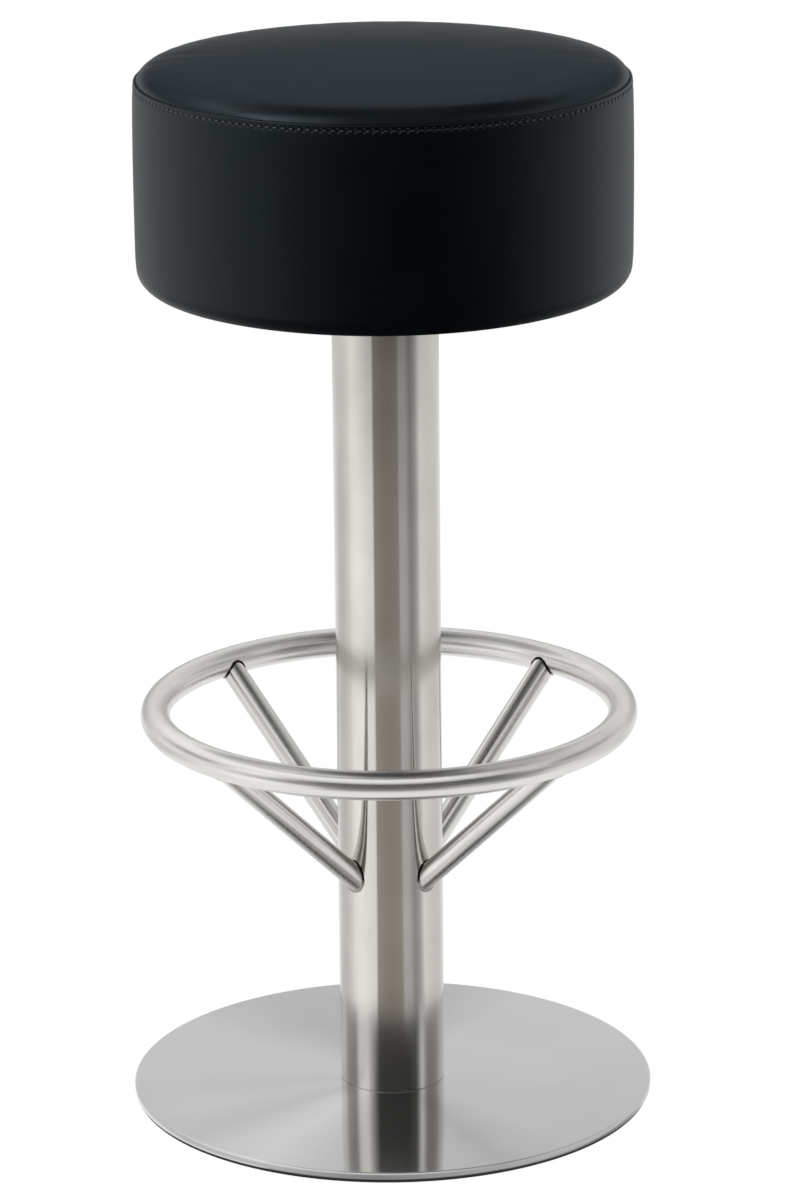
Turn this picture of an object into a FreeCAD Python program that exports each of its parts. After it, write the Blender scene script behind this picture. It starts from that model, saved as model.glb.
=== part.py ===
"""Bar stool with a round floor plate, a tubular column, a ring footrest and an upholstered swivel seat.

Lengths are in millimetres and angles in degrees. +Z is up, -Y is the front, and the origin is the
middle of the floor ring's underside, on the floor.
"""
import FreeCAD, Part
import math
import os
import re
import Sketcher

V = FreeCAD.Vector

SIZES = [
    # floor plate
    ("base_radius", 200, "outer radius of the floor plate's cover"),
    ("base_height", 8, "floor to the cover's top face"),
    ("cover_wall", 1.2, "sheet thickness of the cover"),
    ("cover_edge_radius", 2, "outer radius of the cover's rolled edge"),
    ("floor_ring_height", 2.9, "thickness of the rubber floor ring"),
    ("floor_ring_width", 14, "radial width of the rubber floor ring"),
    ("weight_floor_gap", 1.2, "air under the middle of the ballast disc"),
    ("weight_chamfer", 1.2, "chamfer on the ballast disc's upper edge"),
    ("foot_plate_thickness", 10, "threaded plate welded into the foot of the column"),
    ("screw_count", 4, "countersunk screws that hold the floor plate to the column"),
    ("screw_circle_radius", 25, "radius of the circle through the screws"),
    ("screw_radius", 4, "thread radius of the screws"),
    ("screw_head_radius", 8, "radius of a countersunk head"),
    ("screw_recess", 0.2, "how far a head sits inside the ballast's underside"),
    ("screw_reach", 8, "length of thread inside the foot plate"),
    ("socket_radius", 2.9, "corner radius of the screws' hexagon socket"),
    ("socket_depth", 2.2, "depth of the screws' hexagon socket"),
    # column and footrest
    ("column_radius", 40, "outer radius of the column tube"),
    ("column_wall", 2, "wall of the column tube"),
    ("column_length", 625, "length of the column tube"),
    ("ring_height", 305, "floor to the footrest ring's centre line"),
    ("ring_radius", 178, "radius of the footrest ring's centre line"),
    ("ring_tube_radius", 11, "outer radius of the ring's tube"),
    ("ring_tube_wall", 1.5, "wall of the ring's tube"),
    ("strut_radius", 9, "outer radius of a footrest strut"),
    ("strut_wall", 1.5, "wall of a footrest strut"),
    ("strut_foot_height", 181, "floor to a strut's centre line at the column"),
    ("strut_angle", 45, "angle of the first strut round the column"),
    # swivel
    ("flange_thickness", 3, "flange of the bearing housing on the column's end"),
    ("housing_length", 80, "bearing housing inside the column"),
    ("housing_spigot", 20, "length of the housing's upper spigot"),
    ("housing_disc", 8, "thickness of the housing's lower disc"),
    ("housing_neck_wall", 5, "wall of the housing between spigot and disc"),
    ("shaft_radius", 12.5, "nominal radius of the spindle and its bushes"),
    ("bush_wall", 1.5, "wall of a bush"),
    ("bush_length", 20, "length of a bush"),
    ("bush_recess", 1, "how far a bush sits inside the housing's end"),
    ("bearing_radius", 21, "outer radius of the thrust bearing"),
    ("race_thickness", 3, "thickness of a bearing washer"),
    ("race_bore_clearance", 0.5, "air between the lower bearing washer and the spindle"),
    ("race_rim_clearance", 0.25, "how much smaller the upper bearing washer is"),
    ("ball_radius", 3, "radius of a bearing ball"),
    ("ball_count", 12, "balls in the thrust bearing"),
    ("groove_depth", 0.5, "depth of the ball groove in a bearing washer"),
    ("cage_width", 7.2, "radial width of the ball cage"),
    ("cage_thickness", 2, "thickness of the ball cage"),
    ("swivel_gap", 2, "air between the column's flange and the seat plate"),
    ("end_play", 0.3, "air between the housing and the retaining washer"),
    ("retainer_radius", 20, "outer radius of the retaining washer"),
    ("retainer_thickness", 2, "thickness of the retaining washer"),
    ("clip_thickness", 1.5, "thickness of the retaining clip"),
    ("clip_width", 4, "radial width of the retaining clip"),
    ("clip_groove_depth", 1.2, "depth of the spindle's clip groove"),
    ("clip_turn", 320, "angle that the retaining clip goes round"),
    ("spindle_tail", 5, "spindle below its clip groove"),
    ("spindle_chamfer", 1, "chamfer on the spindle's end"),
    # seat plate and its fasteners
    ("plate_side", 160, "side of the square seat plate"),
    ("plate_thickness", 5, "thickness of the seat plate"),
    ("plate_corner_radius", 12, "corner radius of the seat plate"),
    ("bolt_edge", 15, "seat plate's edge to the middle of a bolt"),
    ("bolt_radius", 4, "thread radius of a seat bolt"),
    ("bolt_hole_radius", 4.5, "radius of a bolt's clearance hole"),
    ("bolt_length", 20, "seat bolt below its head"),
    ("bolt_head_radius", 7.5, "corner radius of a bolt's hexagon head"),
    ("bolt_head_height", 5.3, "height of a bolt's head"),
    ("washer_radius", 8.5, "outer radius of a bolt's washer"),
    ("washer_thickness", 1.6, "thickness of a bolt's washer"),
    ("tee_flange_radius", 10, "flange radius of a tee nut"),
    ("tee_flange_thickness", 1.5, "flange thickness of a tee nut"),
    ("tee_barrel_radius", 5.2, "outer radius of a tee nut's barrel"),
    ("tee_barrel_length", 11, "length of a tee nut's barrel"),
    # seat
    ("seat_radius", 184.9, "largest radius of the seat's side"),
    ("seat_side_height", 154.4, "seat's underside to the seam round its shoulder"),
    ("seat_waist_height", 83.6, "seat's underside to its largest radius"),
    ("seam_draw_in", 3.4, "how far the seam pulls the side in"),
    ("lower_draw_in", 1.1, "how far the side draws in above the lower edge"),
    ("lower_edge_radius", 13.5, "rounding of the seat's lower edge"),
    ("shoulder_width", 21.5, "radial width of the rounded shoulder inside the seam"),
    ("shoulder_rise", 8, "height of the shoulder above the seam"),
    ("shoulder_round", 40, "radius of the shoulder's section"),
    ("crown_rise", 6, "height of the seat's middle above the shoulder"),
    ("crown_flat_radius", 3, "radius of the flat in the middle of the crown"),
    ("seam_gap", 0.4, "width of the seam between top panel and side band"),
    ("seam_mitre", 0.6, "drop of the seam through one leather thickness"),
    ("leather_thickness", 1.2, "thickness of the leather and its backing"),
    ("turn_under_width", 20, "leather turned under, inside the rounded lower edge"),
    ("side_padding", 8.9, "padding and leather round the wooden drum"),
    ("pad_depth", 41, "seam to the underside of the top padding"),
    ("board_thickness", 18, "plywood seat board"),
    ("board_edge_radius", 8, "rounding of the board's lower edge"),
    ("deck_thickness", 12, "plywood deck under the top padding"),
    ("hoop_wall", 6, "bent plywood hoop between board and deck"),
    ("dust_cover_thickness", 0.6, "cloth under the seat"),
    ("dust_cover_lap", 12, "cloth lapped over the turned-under leather"),
    ("dust_cover_slope", 5, "run over which the cloth drops to the leather's hem"),
    # clearances
    ("fit_gap", 0.1, "between pieces that slip together"),
    ("weld_gap", 0.05, "at a coped tube end and round a thread"),
    ("running_gap", 0.05, "between spindle and bush, and between ball and groove"),
    ("soft_gap", 0.3, "between padding and what it lies on"),
]

doc = FreeCAD.newDocument("bar_stool")
sizes = doc.addObject("Spreadsheet::Sheet", "Sizes")
for row, (alias, number, meaning) in enumerate(SIZES, start=1):
    sizes.set(f"A{row}", meaning)
    sizes.set(f"B{row}", str(number))
    sizes.setAlias(f"B{row}", alias)
doc.recompute()


ALIASES = {alias for alias, _, _ in SIZES}


def size(text):
    """Expression text in which every size's plain name stands for its cell."""
    named = re.sub(r"[a-z_]+", lambda word: f"Sizes.{word[0]}" if word[0] in ALIASES else word[0], text)
    return f"({named})"


# Radii and levels that several pieces share
COVER_INSIDE = "base_radius - cover_wall"
COVER_UNDER = "base_height - cover_wall"
COLUMN_INSIDE = "column_radius - column_wall"
COLUMN_TOP = "base_height + column_length"
HOUSING_FOOT = f"{COLUMN_TOP} - housing_length"
FLANGE_TOP = f"{COLUMN_TOP} + flange_thickness"
BEARING_HEIGHT = "2 * (race_thickness + ball_radius - groove_depth)"
RACE_DEPTH = f"{BEARING_HEIGHT} - swivel_gap"
RACE_FLOOR = f"{FLANGE_TOP} - ({RACE_DEPTH})"
BALL_LEVEL = f"{RACE_FLOOR} + ({BEARING_HEIGHT}) / 2"
BALL_CIRCLE = "(shaft_radius + bearing_radius) / 2"
BUSH_OUTSIDE = "shaft_radius + bush_wall"
SPINDLE_RADIUS = "shaft_radius - running_gap"
CLIP_GROOVE_WIDTH = "clip_thickness + 2 * running_gap"
CLIP_BED = "shaft_radius - running_gap - clip_groove_depth"
RETAINER_LEVEL = f"{HOUSING_FOOT} - end_play - retainer_thickness"
SPINDLE_END = f"{RETAINER_LEVEL} - ({CLIP_GROOVE_WIDTH}) - spindle_tail"
PLATE_UNDER = f"{FLANGE_TOP} + swivel_gap"
PLATE_TOP = f"{PLATE_UNDER} + plate_thickness"
BOARD_UNDER = f"{PLATE_TOP} + dust_cover_thickness"
BOARD_TOP = f"{BOARD_UNDER} + board_thickness"
SEAT_UNDER = f"{BOARD_UNDER} - leather_thickness"
SEAM_LEVEL = f"{SEAT_UNDER} + seat_side_height"
DECK_TOP = f"{SEAM_LEVEL} - pad_depth"
BOARD_RADIUS = "seat_radius - side_padding"
BOLT_PLACE = "plate_side / 2 - bolt_edge"
CORNERS = "4"

# Section of the seat, measured up from its underside
SEAM_RADIUS = "(seat_radius - seam_draw_in)"
LOWER_RADIUS = "(seat_radius - lower_draw_in)"
SIDE_LENGTH = "(seat_side_height - seat_waist_height)"
UPPER_SIDE_ROUND = f"(({SIDE_LENGTH} ^ 2 + seam_draw_in ^ 2) / (2 * seam_draw_in))"
LOWER_SIDE_LENGTH = "(seat_waist_height - lower_edge_radius)"
LOWER_SIDE_ROUND = f"(({LOWER_SIDE_LENGTH} ^ 2 + lower_draw_in ^ 2) / (2 * lower_draw_in))"
CROWN_EDGE = f"({SEAM_RADIUS} - shoulder_width)"
CROWN_EDGE_HEIGHT = "(seat_side_height + shoulder_rise)"
CROWN_RUN = f"({CROWN_EDGE} - crown_flat_radius)"
CROWN_ROUND = f"(({CROWN_RUN} ^ 2 + crown_rise ^ 2) / (2 * crown_rise))"
CROWN_HEIGHT = f"({CROWN_EDGE_HEIGHT} + crown_rise)"


def value(text):
    """A size or a sum of sizes as a number."""
    result = sizes.evalExpression(size(text))
    return float(getattr(result, "Value", result))


def drive(owner, name, text):
    """Binds one property of an object to the sheet."""
    owner.setExpression(name, size(text))


def new_body(label, level="0"):
    """An empty body whose own origin lies on the stool's axis at the given level."""
    body = doc.addObject("PartDesign::Body", label)
    body.Label = label
    body.AllowCompound = True
    drive(body, "Placement.Base.z", level)
    return body


def origin_feature(body, role):
    return next(item for item in body.Origin.OriginFeatures if item.Role == role)


def new_sketch(body, name, role):
    sketch = body.newObject("Sketcher::SketchObject", name)
    sketch.AttachmentSupport = [(origin_feature(body, role), "")]
    sketch.MapMode = "FlatFace"
    return sketch


def bind(sketch, constraint, name, text):
    """Adds a constraint and ties its datum to the sheet."""
    index = sketch.addConstraint(constraint)
    sketch.renameConstraint(index, name)
    drive(sketch, f"Constraints.{name}", text)


def pin(sketch, edge, end, point, name):
    """Holds one end of an edge at its distances from the sketch's origin."""
    across, up = point
    if across == "0":
        sketch.addConstraint(Sketcher.Constraint("PointOnObject", edge, end, -2))
    else:
        distance = Sketcher.Constraint("DistanceX", -1, 1, edge, end, value(across))
        bind(sketch, distance, f"across_{name}", across)
    if up == "0":
        sketch.addConstraint(Sketcher.Constraint("PointOnObject", edge, end, -1))
    else:
        distance = Sketcher.Constraint("DistanceY", -1, 1, edge, end, value(up))
        bind(sketch, distance, f"up_{name}", up)


def arc_between(start, end, radius, side):
    """The shorter arc from start to end that bulges to the given side of the way from start to end."""
    chord = end.sub(start)
    towards = V(chord.y, -chord.x, 0) if side == "right" else V(-chord.y, chord.x, 0)
    towards.normalize()
    reach = math.sqrt(radius ** 2 - (chord.Length / 2) ** 2)
    middle = (start + end) * 0.5 - towards * reach
    first, last = (start, end) if side == "right" else (end, start)
    turn_first = math.atan2(first.y - middle.y, first.x - middle.x)
    turn_last = math.atan2(last.y - middle.y, last.x - middle.x)
    return Part.ArcOfCircle(Part.Circle(middle, V(0, 0, 1), radius), turn_first, turn_last)


def outline(sketch, points, bends=None):
    """A closed outline. bends gives, for some edges, the arc's radius and the side it bulges to."""
    bends = bends or {}
    places = [V(value(across), value(up), 0) for across, up in points]
    ends = []
    for index, start in enumerate(places):
        end = places[(index + 1) % len(places)]
        if index in bends:
            radius, side = bends[index]
            edge = sketch.addGeometry(arc_between(start, end, value(radius), side))
            bind(sketch, Sketcher.Constraint("Radius", edge, value(radius)), f"bend_{index}", radius)
            ends.append((edge, 1, 2) if side == "right" else (edge, 2, 1))
        else:
            edge = sketch.addGeometry(Part.LineSegment(start, end))
            ends.append((edge, 1, 2))
    for index, (edge, first, _) in enumerate(ends):
        before, _, last = ends[index - 1]
        sketch.addConstraint(Sketcher.Constraint("Coincident", before, last, edge, first))
        pin(sketch, edge, first, points[index], str(index))


def circles(sketch, radii, centre=("0", "0")):
    """Circles round one centre."""
    middle = V(value(centre[0]), value(centre[1]), 0)
    for index, radius in enumerate(radii):
        edge = sketch.addGeometry(Part.Circle(middle, V(0, 0, 1), value(radius)))
        bind(sketch, Sketcher.Constraint("Radius", edge, value(radius)), f"radius_{index}", radius)
        pin(sketch, edge, 3, centre, f"centre_{index}")


def turned(label, level, points, bends=None, angle="360"):
    """A body turned about the stool's axis from a section of (radius, height) points."""
    body = new_body(label, level)
    sketch = new_sketch(body, f"{label}_section", "XZ_Plane")
    outline(sketch, points, bends)
    revolution = body.newObject("PartDesign::Revolution", f"{label}_turned")
    revolution.Profile = sketch
    revolution.ReferenceAxis = (sketch, ["V_Axis"])
    drive(revolution, "Angle", angle)
    sketch.Visibility = False
    body.Tip = revolution
    doc.recompute()
    return body


def ring(label, level, inside, outside, thickness):
    """A plain washer or tube, padded upwards from two circles."""
    body = new_body(label, level)
    sketch = new_sketch(body, f"{label}_circles", "XY_Plane")
    circles(sketch, [inside, outside])
    pad = body.newObject("PartDesign::Pad", f"{label}_pad")
    pad.Profile = sketch
    drive(pad, "Length", thickness)
    body.Tip = pad
    doc.recompute()
    return body


def repeat(body, features, count):
    """The same features, evenly spaced round the stool's axis."""
    pattern = body.newObject("PartDesign::PolarPattern", f"{body.Name}_pattern")
    pattern.Originals = features
    pattern.Axis = (origin_feature(body, "Z_Axis"), [""])
    pattern.Angle = 360
    drive(pattern, "Occurrences", count)
    body.Tip = pattern
    doc.recompute()
    return pattern


def drill(body, name, radius, place, start="0", depth=None):
    """A round pocket that starts at a level of the body and goes up, through all without a depth."""
    sketch = new_sketch(body, f"{body.Name}_{name}", "XY_Plane")
    drive(sketch, "AttachmentOffset.Base.z", start)
    circles(sketch, [radius], place)
    pocket = body.newObject("PartDesign::Pocket", f"{body.Name}_{name}_pocket")
    pocket.Profile = sketch
    pocket.Reversed = True
    if depth is None:
        pocket.Type = "ThroughAll"
    else:
        drive(pocket, "Length", depth)
    body.Tip = pocket
    doc.recompute()
    return pocket


def primitive(body, kind, name, dimensions, place=("0", "0"), level="0"):
    """A primitive feature of a body, standing at a place and level of it."""
    feature = body.newObject(f"PartDesign::{kind}", f"{body.Name}_{name}")
    for dimension, text in dimensions.items():
        drive(feature, dimension, text)
    drive(feature, "Placement.Base.x", place[0])
    drive(feature, "Placement.Base.y", place[1])
    drive(feature, "Placement.Base.z", level)
    body.Tip = feature
    return feature


def floor_ring():
    """Rubber ring that the stool stands on, seen as a dark line under the cover's edge."""
    outside = f"{COVER_INSIDE} - fit_gap"
    inside = f"{COVER_INSIDE} - floor_ring_width"
    return ring("floor_ring", "0", inside, outside, "floor_ring_height")


def base_weight():
    """Cast ballast disc, stepped to sit in the rubber ring, with countersunk screw holes."""
    step = f"{COVER_INSIDE} - floor_ring_width - fit_gap"
    rim = f"{COVER_INSIDE} - fit_gap"
    top = f"{COVER_UNDER} - weight_floor_gap"
    shelf = "floor_ring_height - weight_floor_gap"
    body = turned("base_weight", "weight_floor_gap", [
        ("0", "0"),
        (step, "0"),
        (step, shelf),
        (rim, shelf),
        (rim, f"{top} - weight_chamfer"),
        (f"{rim} - weight_chamfer", top),
        ("0", top),
    ])
    sketch = new_sketch(body, "base_weight_screw_place", "XY_Plane")
    circles(sketch, ["screw_radius + fit_gap"], ("screw_circle_radius", "0"))
    doc.recompute()
    hole = body.newObject("PartDesign::Hole", "base_weight_screw_hole")
    hole.Profile = sketch
    hole.Reversed = True
    hole.Threaded = False
    hole.DepthType = "ThroughAll"
    hole.HoleCutType = "Countersink"
    hole.HoleCutCustomValues = True
    drive(hole, "Diameter", "2 * (screw_radius + fit_gap)")
    drive(hole, "HoleCutDiameter", "2 * (screw_head_radius + screw_recess + fit_gap)")
    hole.HoleCutCountersinkAngle = 90
    body.Tip = hole
    doc.recompute()
    repeat(body, [hole], "screw_count")
    return body


def base_cover():
    """Spun stainless cover with a rolled edge and holes for the column's screws."""
    inner_edge = "cover_edge_radius - cover_wall"
    body = turned("base_cover", "0", [
        ("0", COVER_UNDER),
        (f"{COVER_INSIDE} - ({inner_edge})", COVER_UNDER),
        (COVER_INSIDE, f"{COVER_UNDER} - ({inner_edge})"),
        (COVER_INSIDE, "floor_ring_height"),
        ("base_radius", "floor_ring_height"),
        ("base_radius", "base_height - cover_edge_radius"),
        ("base_radius - cover_edge_radius", "base_height"),
        ("0", "base_height"),
    ], {1: (inner_edge, "left"), 5: ("cover_edge_radius", "right")})
    hole = drill(body, "screw_hole", "screw_radius + fit_gap", ("screw_circle_radius", "0"))
    repeat(body, [hole], "screw_count")
    return body


def base_screws():
    """Countersunk socket screws, from under the ballast into the column's foot plate."""
    body = new_body("base_screws", "weight_floor_gap + screw_recess")
    place = ("screw_circle_radius", "0")
    cone = "(screw_head_radius - screw_radius)"
    shank = f"{COVER_UNDER} + cover_wall + screw_reach - weight_floor_gap - screw_recess - {cone}"
    head = primitive(body, "AdditiveCone", "head", {
        "Radius1": "screw_head_radius", "Radius2": "screw_radius", "Height": cone}, place)
    thread = primitive(body, "AdditiveCylinder", "thread", {
        "Radius": "screw_radius", "Height": shank}, place, cone)
    socket = primitive(body, "SubtractivePrism", "socket", {
        "Circumradius": "socket_radius", "Height": "socket_depth"}, place)
    doc.recompute()
    repeat(body, [head, thread, socket], "screw_count")
    return body


def column_foot_plate():
    """Thick disc welded into the column's foot, with the threaded holes."""
    body = new_body("column_foot_plate", "base_height")
    sketch = new_sketch(body, "column_foot_plate_circle", "XY_Plane")
    circles(sketch, [f"{COLUMN_INSIDE} - fit_gap"])
    pad = body.newObject("PartDesign::Pad", "column_foot_plate_pad")
    pad.Profile = sketch
    drive(pad, "Length", "foot_plate_thickness")
    body.Tip = pad
    doc.recompute()
    hole = drill(body, "thread", "screw_radius + weld_gap", ("screw_circle_radius", "0"))
    repeat(body, [hole], "screw_count")
    return body


def column_tube():
    return ring("column_tube", "base_height", COLUMN_INSIDE, "column_radius", "column_length")


def footrest_ring():
    """Bent tube closed to a ring."""
    body = new_body("footrest_ring", "ring_height")
    sketch = new_sketch(body, "footrest_ring_section", "XZ_Plane")
    circles(sketch, ["ring_tube_radius", "ring_tube_radius - ring_tube_wall"], ("ring_radius", "0"))
    revolution = body.newObject("PartDesign::Revolution", "footrest_ring_turned")
    revolution.Profile = sketch
    revolution.ReferenceAxis = (sketch, ["V_Axis"])
    revolution.Angle = 360
    body.Tip = revolution
    doc.recompute()
    return body


def footrest_strut(label, quarter):
    """Sloping tube from the column up to the ring, coped to both."""
    run = "(ring_radius - column_radius)"
    rise = "(ring_height - strut_foot_height)"
    lean = f"atan({run} / {rise})"
    spare = "(2 * strut_radius)"
    leaning = FreeCAD.Rotation(V(0, 1, 0), 45)
    turning = FreeCAD.Rotation(V(0, 0, 1), 45)

    def tube(name, radius):
        piece = doc.addObject("Part::Cylinder", f"{label}_{name}")
        piece.Placement = FreeCAD.Placement(V(), leaning)
        drive(piece, "Radius", radius)
        drive(piece, "Height", f"sqrt({run} ^ 2 + {rise} ^ 2) + {spare}")
        drive(piece, "Placement.Rotation.Angle", lean)
        drive(piece, "Placement.Base.x", f"column_radius - {spare} * sin({lean})")
        drive(piece, "Placement.Base.z", f"strut_foot_height - {spare} * cos({lean})")
        return piece

    def cut(name, base, tool):
        piece = doc.addObject("Part::Cut", name)
        piece.Base = base
        piece.Tool = tool
        return piece

    wall = cut(f"{label}_wall", tube("outside", "strut_radius"), tube("inside", "strut_radius - strut_wall"))
    post = doc.addObject("Part::Cylinder", f"{label}_column_cope")
    drive(post, "Radius", "column_radius + weld_gap")
    drive(post, "Height", "ring_height")
    hoop = doc.addObject("Part::Torus", f"{label}_ring_cope")
    drive(hoop, "Radius1", "ring_radius")
    drive(hoop, "Radius2", "ring_tube_radius + weld_gap")
    drive(hoop, "Placement.Base.z", "ring_height")
    strut = cut(label, cut(f"{label}_at_column", wall, post), hoop)
    strut.Label = label
    strut.Placement = FreeCAD.Placement(V(), turning)
    drive(strut, "Placement.Rotation.Angle", f"strut_angle + 90 * {quarter}")
    doc.recompute()
    return strut


def bearing_housing():
    """Turned spool in the column's top: flange, bearing seat, bush bore and lower steady disc."""
    disc = f"{COLUMN_INSIDE} - fit_gap"
    neck = f"{BUSH_OUTSIDE} + housing_neck_wall"
    seat = "bearing_radius + fit_gap"
    top = "housing_length + flange_thickness"
    seat_floor = f"{top} - ({RACE_DEPTH})"
    return turned("bearing_housing", HOUSING_FOOT, [
        (BUSH_OUTSIDE, "0"),
        (disc, "0"),
        (disc, "housing_disc"),
        (neck, "housing_disc"),
        (neck, "housing_length - housing_spigot"),
        (disc, "housing_length - housing_spigot"),
        (disc, "housing_length"),
        ("column_radius", "housing_length"),
        ("column_radius", top),
        (seat, top),
        (seat, seat_floor),
        (BUSH_OUTSIDE, seat_floor),
    ])


def upper_bush():
    level = f"{RACE_FLOOR} - bush_recess - bush_length"
    return ring("upper_bush", level, "shaft_radius", f"{BUSH_OUTSIDE} - weld_gap", "bush_length")


def lower_bush():
    level = f"{HOUSING_FOOT} + bush_recess"
    return ring("lower_bush", level, "shaft_radius", f"{BUSH_OUTSIDE} - weld_gap", "bush_length")


def bearing_washer(label, level, inside, outside, ball_height):
    """Hardened washer with a round groove for the balls."""
    body = ring(label, level, inside, outside, "race_thickness")
    groove = body.newObject("PartDesign::SubtractiveTorus", f"{label}_groove")
    drive(groove, "Radius1", BALL_CIRCLE)
    drive(groove, "Radius2", "ball_radius + running_gap")
    drive(groove, "Placement.Base.z", ball_height)
    body.Tip = groove
    doc.recompute()
    return body


def thrust_washer_lower():
    inside = "shaft_radius + race_bore_clearance"
    return bearing_washer("thrust_washer_lower", RACE_FLOOR, inside, "bearing_radius",
                          "race_thickness + ball_radius - groove_depth")


def thrust_washer_upper():
    level = f"{PLATE_UNDER} - race_thickness"
    outside = "bearing_radius - race_rim_clearance"
    return bearing_washer("thrust_washer_upper", level, "shaft_radius", outside, "groove_depth - ball_radius")


def bearing_cage():
    """Flat ring with a round pocket for each ball."""
    level = f"{BALL_LEVEL} - cage_thickness / 2"
    body = ring("bearing_cage", level, f"{BALL_CIRCLE} - cage_width / 2", f"{BALL_CIRCLE} + cage_width / 2",
                "cage_thickness")
    pocket = drill(body, "pocket", "ball_radius + fit_gap", (BALL_CIRCLE, "0"))
    repeat(body, [pocket], "ball_count")
    return body


def bearing_balls():
    body = new_body("bearing_balls", BALL_LEVEL)
    ball = primitive(body, "AdditiveSphere", "ball", {"Radius": "ball_radius"}, (BALL_CIRCLE, "0"))
    doc.recompute()
    repeat(body, [ball], "ball_count")
    return body


def spindle():
    """Turned shaft welded into the seat plate, with a groove for its retaining clip."""
    length = f"{PLATE_TOP} - ({SPINDLE_END})"
    groove_top = f"spindle_tail + {CLIP_GROOVE_WIDTH}"
    return turned("spindle", SPINDLE_END, [
        ("0", "0"),
        (f"{SPINDLE_RADIUS} - spindle_chamfer", "0"),
        (SPINDLE_RADIUS, "spindle_chamfer"),
        (SPINDLE_RADIUS, "spindle_tail"),
        (CLIP_BED, "spindle_tail"),
        (CLIP_BED, groove_top),
        (SPINDLE_RADIUS, groove_top),
        (SPINDLE_RADIUS, length),
        ("0", length),
    ])


def retaining_washer():
    return ring("retaining_washer", RETAINER_LEVEL, "shaft_radius", "retainer_radius", "retainer_thickness")


def retaining_clip():
    """Open spring ring in the spindle's groove."""
    inside = f"{CLIP_BED} + running_gap"
    outside = f"{CLIP_BED} + clip_width"
    return turned("retaining_clip", f"{SPINDLE_END} + spindle_tail + running_gap", [
        (inside, "0"),
        (outside, "0"),
        (outside, "clip_thickness"),
        (inside, "clip_thickness"),
    ], angle="clip_turn")


def seat_plate():
    """Square steel plate with rounded corners, a hole for the spindle and four bolt holes."""
    body = new_body("seat_plate", PLATE_UNDER)
    half = "plate_side / 2"
    sketch = new_sketch(body, "seat_plate_square", "XY_Plane")
    outline(sketch, [(f"-{half}", f"-{half}"), (half, f"-{half}"), (half, half), (f"-{half}", half)])
    pad = body.newObject("PartDesign::Pad", "seat_plate_pad")
    pad.Profile = sketch
    drive(pad, "Length", "plate_thickness")
    body.Tip = pad
    doc.recompute()
    corners = body.newObject("PartDesign::Fillet", "seat_plate_corners")
    upright = [f"Edge{index}" for index, edge in enumerate(pad.Shape.Edges, start=1)
               if edge.BoundBox.ZLength > value("plate_thickness") / 2]
    corners.Base = (pad, upright)
    drive(corners, "Radius", "plate_corner_radius")
    body.Tip = corners
    doc.recompute()
    drill(body, "spindle_hole", "shaft_radius", ("0", "0"))
    hole = drill(body, "bolt_hole", "bolt_hole_radius", (BOLT_PLACE, BOLT_PLACE))
    repeat(body, [hole], CORNERS)
    return body


def seat_washers():
    body = new_body("seat_washers", f"{PLATE_UNDER} - washer_thickness")
    place = (BOLT_PLACE, BOLT_PLACE)
    disc = primitive(body, "AdditiveCylinder", "disc", {
        "Radius": "washer_radius", "Height": "washer_thickness"}, place)
    hole = primitive(body, "SubtractiveCylinder", "hole", {
        "Radius": "bolt_radius + fit_gap", "Height": "washer_thickness"}, place)
    doc.recompute()
    repeat(body, [disc, hole], CORNERS)
    return body


def seat_bolts():
    """Hexagon bolts, from below through washer, plate, cloth and board into the tee nuts."""
    body = new_body("seat_bolts", f"{PLATE_UNDER} - washer_thickness - bolt_head_height")
    place = (BOLT_PLACE, BOLT_PLACE)
    head = primitive(body, "AdditivePrism", "head", {
        "Circumradius": "bolt_head_radius", "Height": "bolt_head_height"}, place)
    thread = primitive(body, "AdditiveCylinder", "thread", {
        "Radius": "bolt_radius", "Height": "bolt_length"}, place, "bolt_head_height")
    doc.recompute()
    repeat(body, [head, thread], CORNERS)
    return body


def tee_nuts():
    """Tee nuts sunk in the board's upper face."""
    body = new_body("tee_nuts", f"{BOARD_TOP} - tee_flange_thickness - tee_barrel_length")
    place = (BOLT_PLACE, BOLT_PLACE)
    barrel = primitive(body, "AdditiveCylinder", "barrel", {
        "Radius": "tee_barrel_radius", "Height": "tee_barrel_length + tee_flange_thickness"}, place)
    flange = primitive(body, "AdditiveCylinder", "flange", {
        "Radius": "tee_flange_radius", "Height": "tee_flange_thickness"}, place, "tee_barrel_length")
    bore = primitive(body, "SubtractiveCylinder", "bore", {
        "Radius": "bolt_radius + weld_gap", "Height": "tee_barrel_length + tee_flange_thickness"}, place)
    doc.recompute()
    repeat(body, [barrel, flange, bore], CORNERS)
    return body


def seat_board():
    """Plywood disc that carries the seat, rounded below where the leather turns under."""
    body = turned("seat_board", BOARD_UNDER, [
        ("0", "0"),
        (f"{BOARD_RADIUS} - board_edge_radius", "0"),
        (BOARD_RADIUS, "board_edge_radius"),
        (BOARD_RADIUS, "board_thickness"),
        ("0", "board_thickness"),
    ], {1: ("board_edge_radius", "right")})
    place = (BOLT_PLACE, BOLT_PLACE)
    hole = drill(body, "bolt_hole", "tee_barrel_radius + fit_gap", place)
    seat = drill(body, "tee_seat", "tee_flange_radius + fit_gap", place,
                 "board_thickness - tee_flange_thickness", "tee_flange_thickness")
    repeat(body, [hole, seat], CORNERS)
    return body


def seat_hoop():
    """Bent plywood hoop that keeps the drum's shape."""
    height = f"{DECK_TOP} - deck_thickness - ({BOARD_TOP})"
    return ring("seat_hoop", BOARD_TOP, f"{BOARD_RADIUS} - hoop_wall", BOARD_RADIUS, height)


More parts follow.
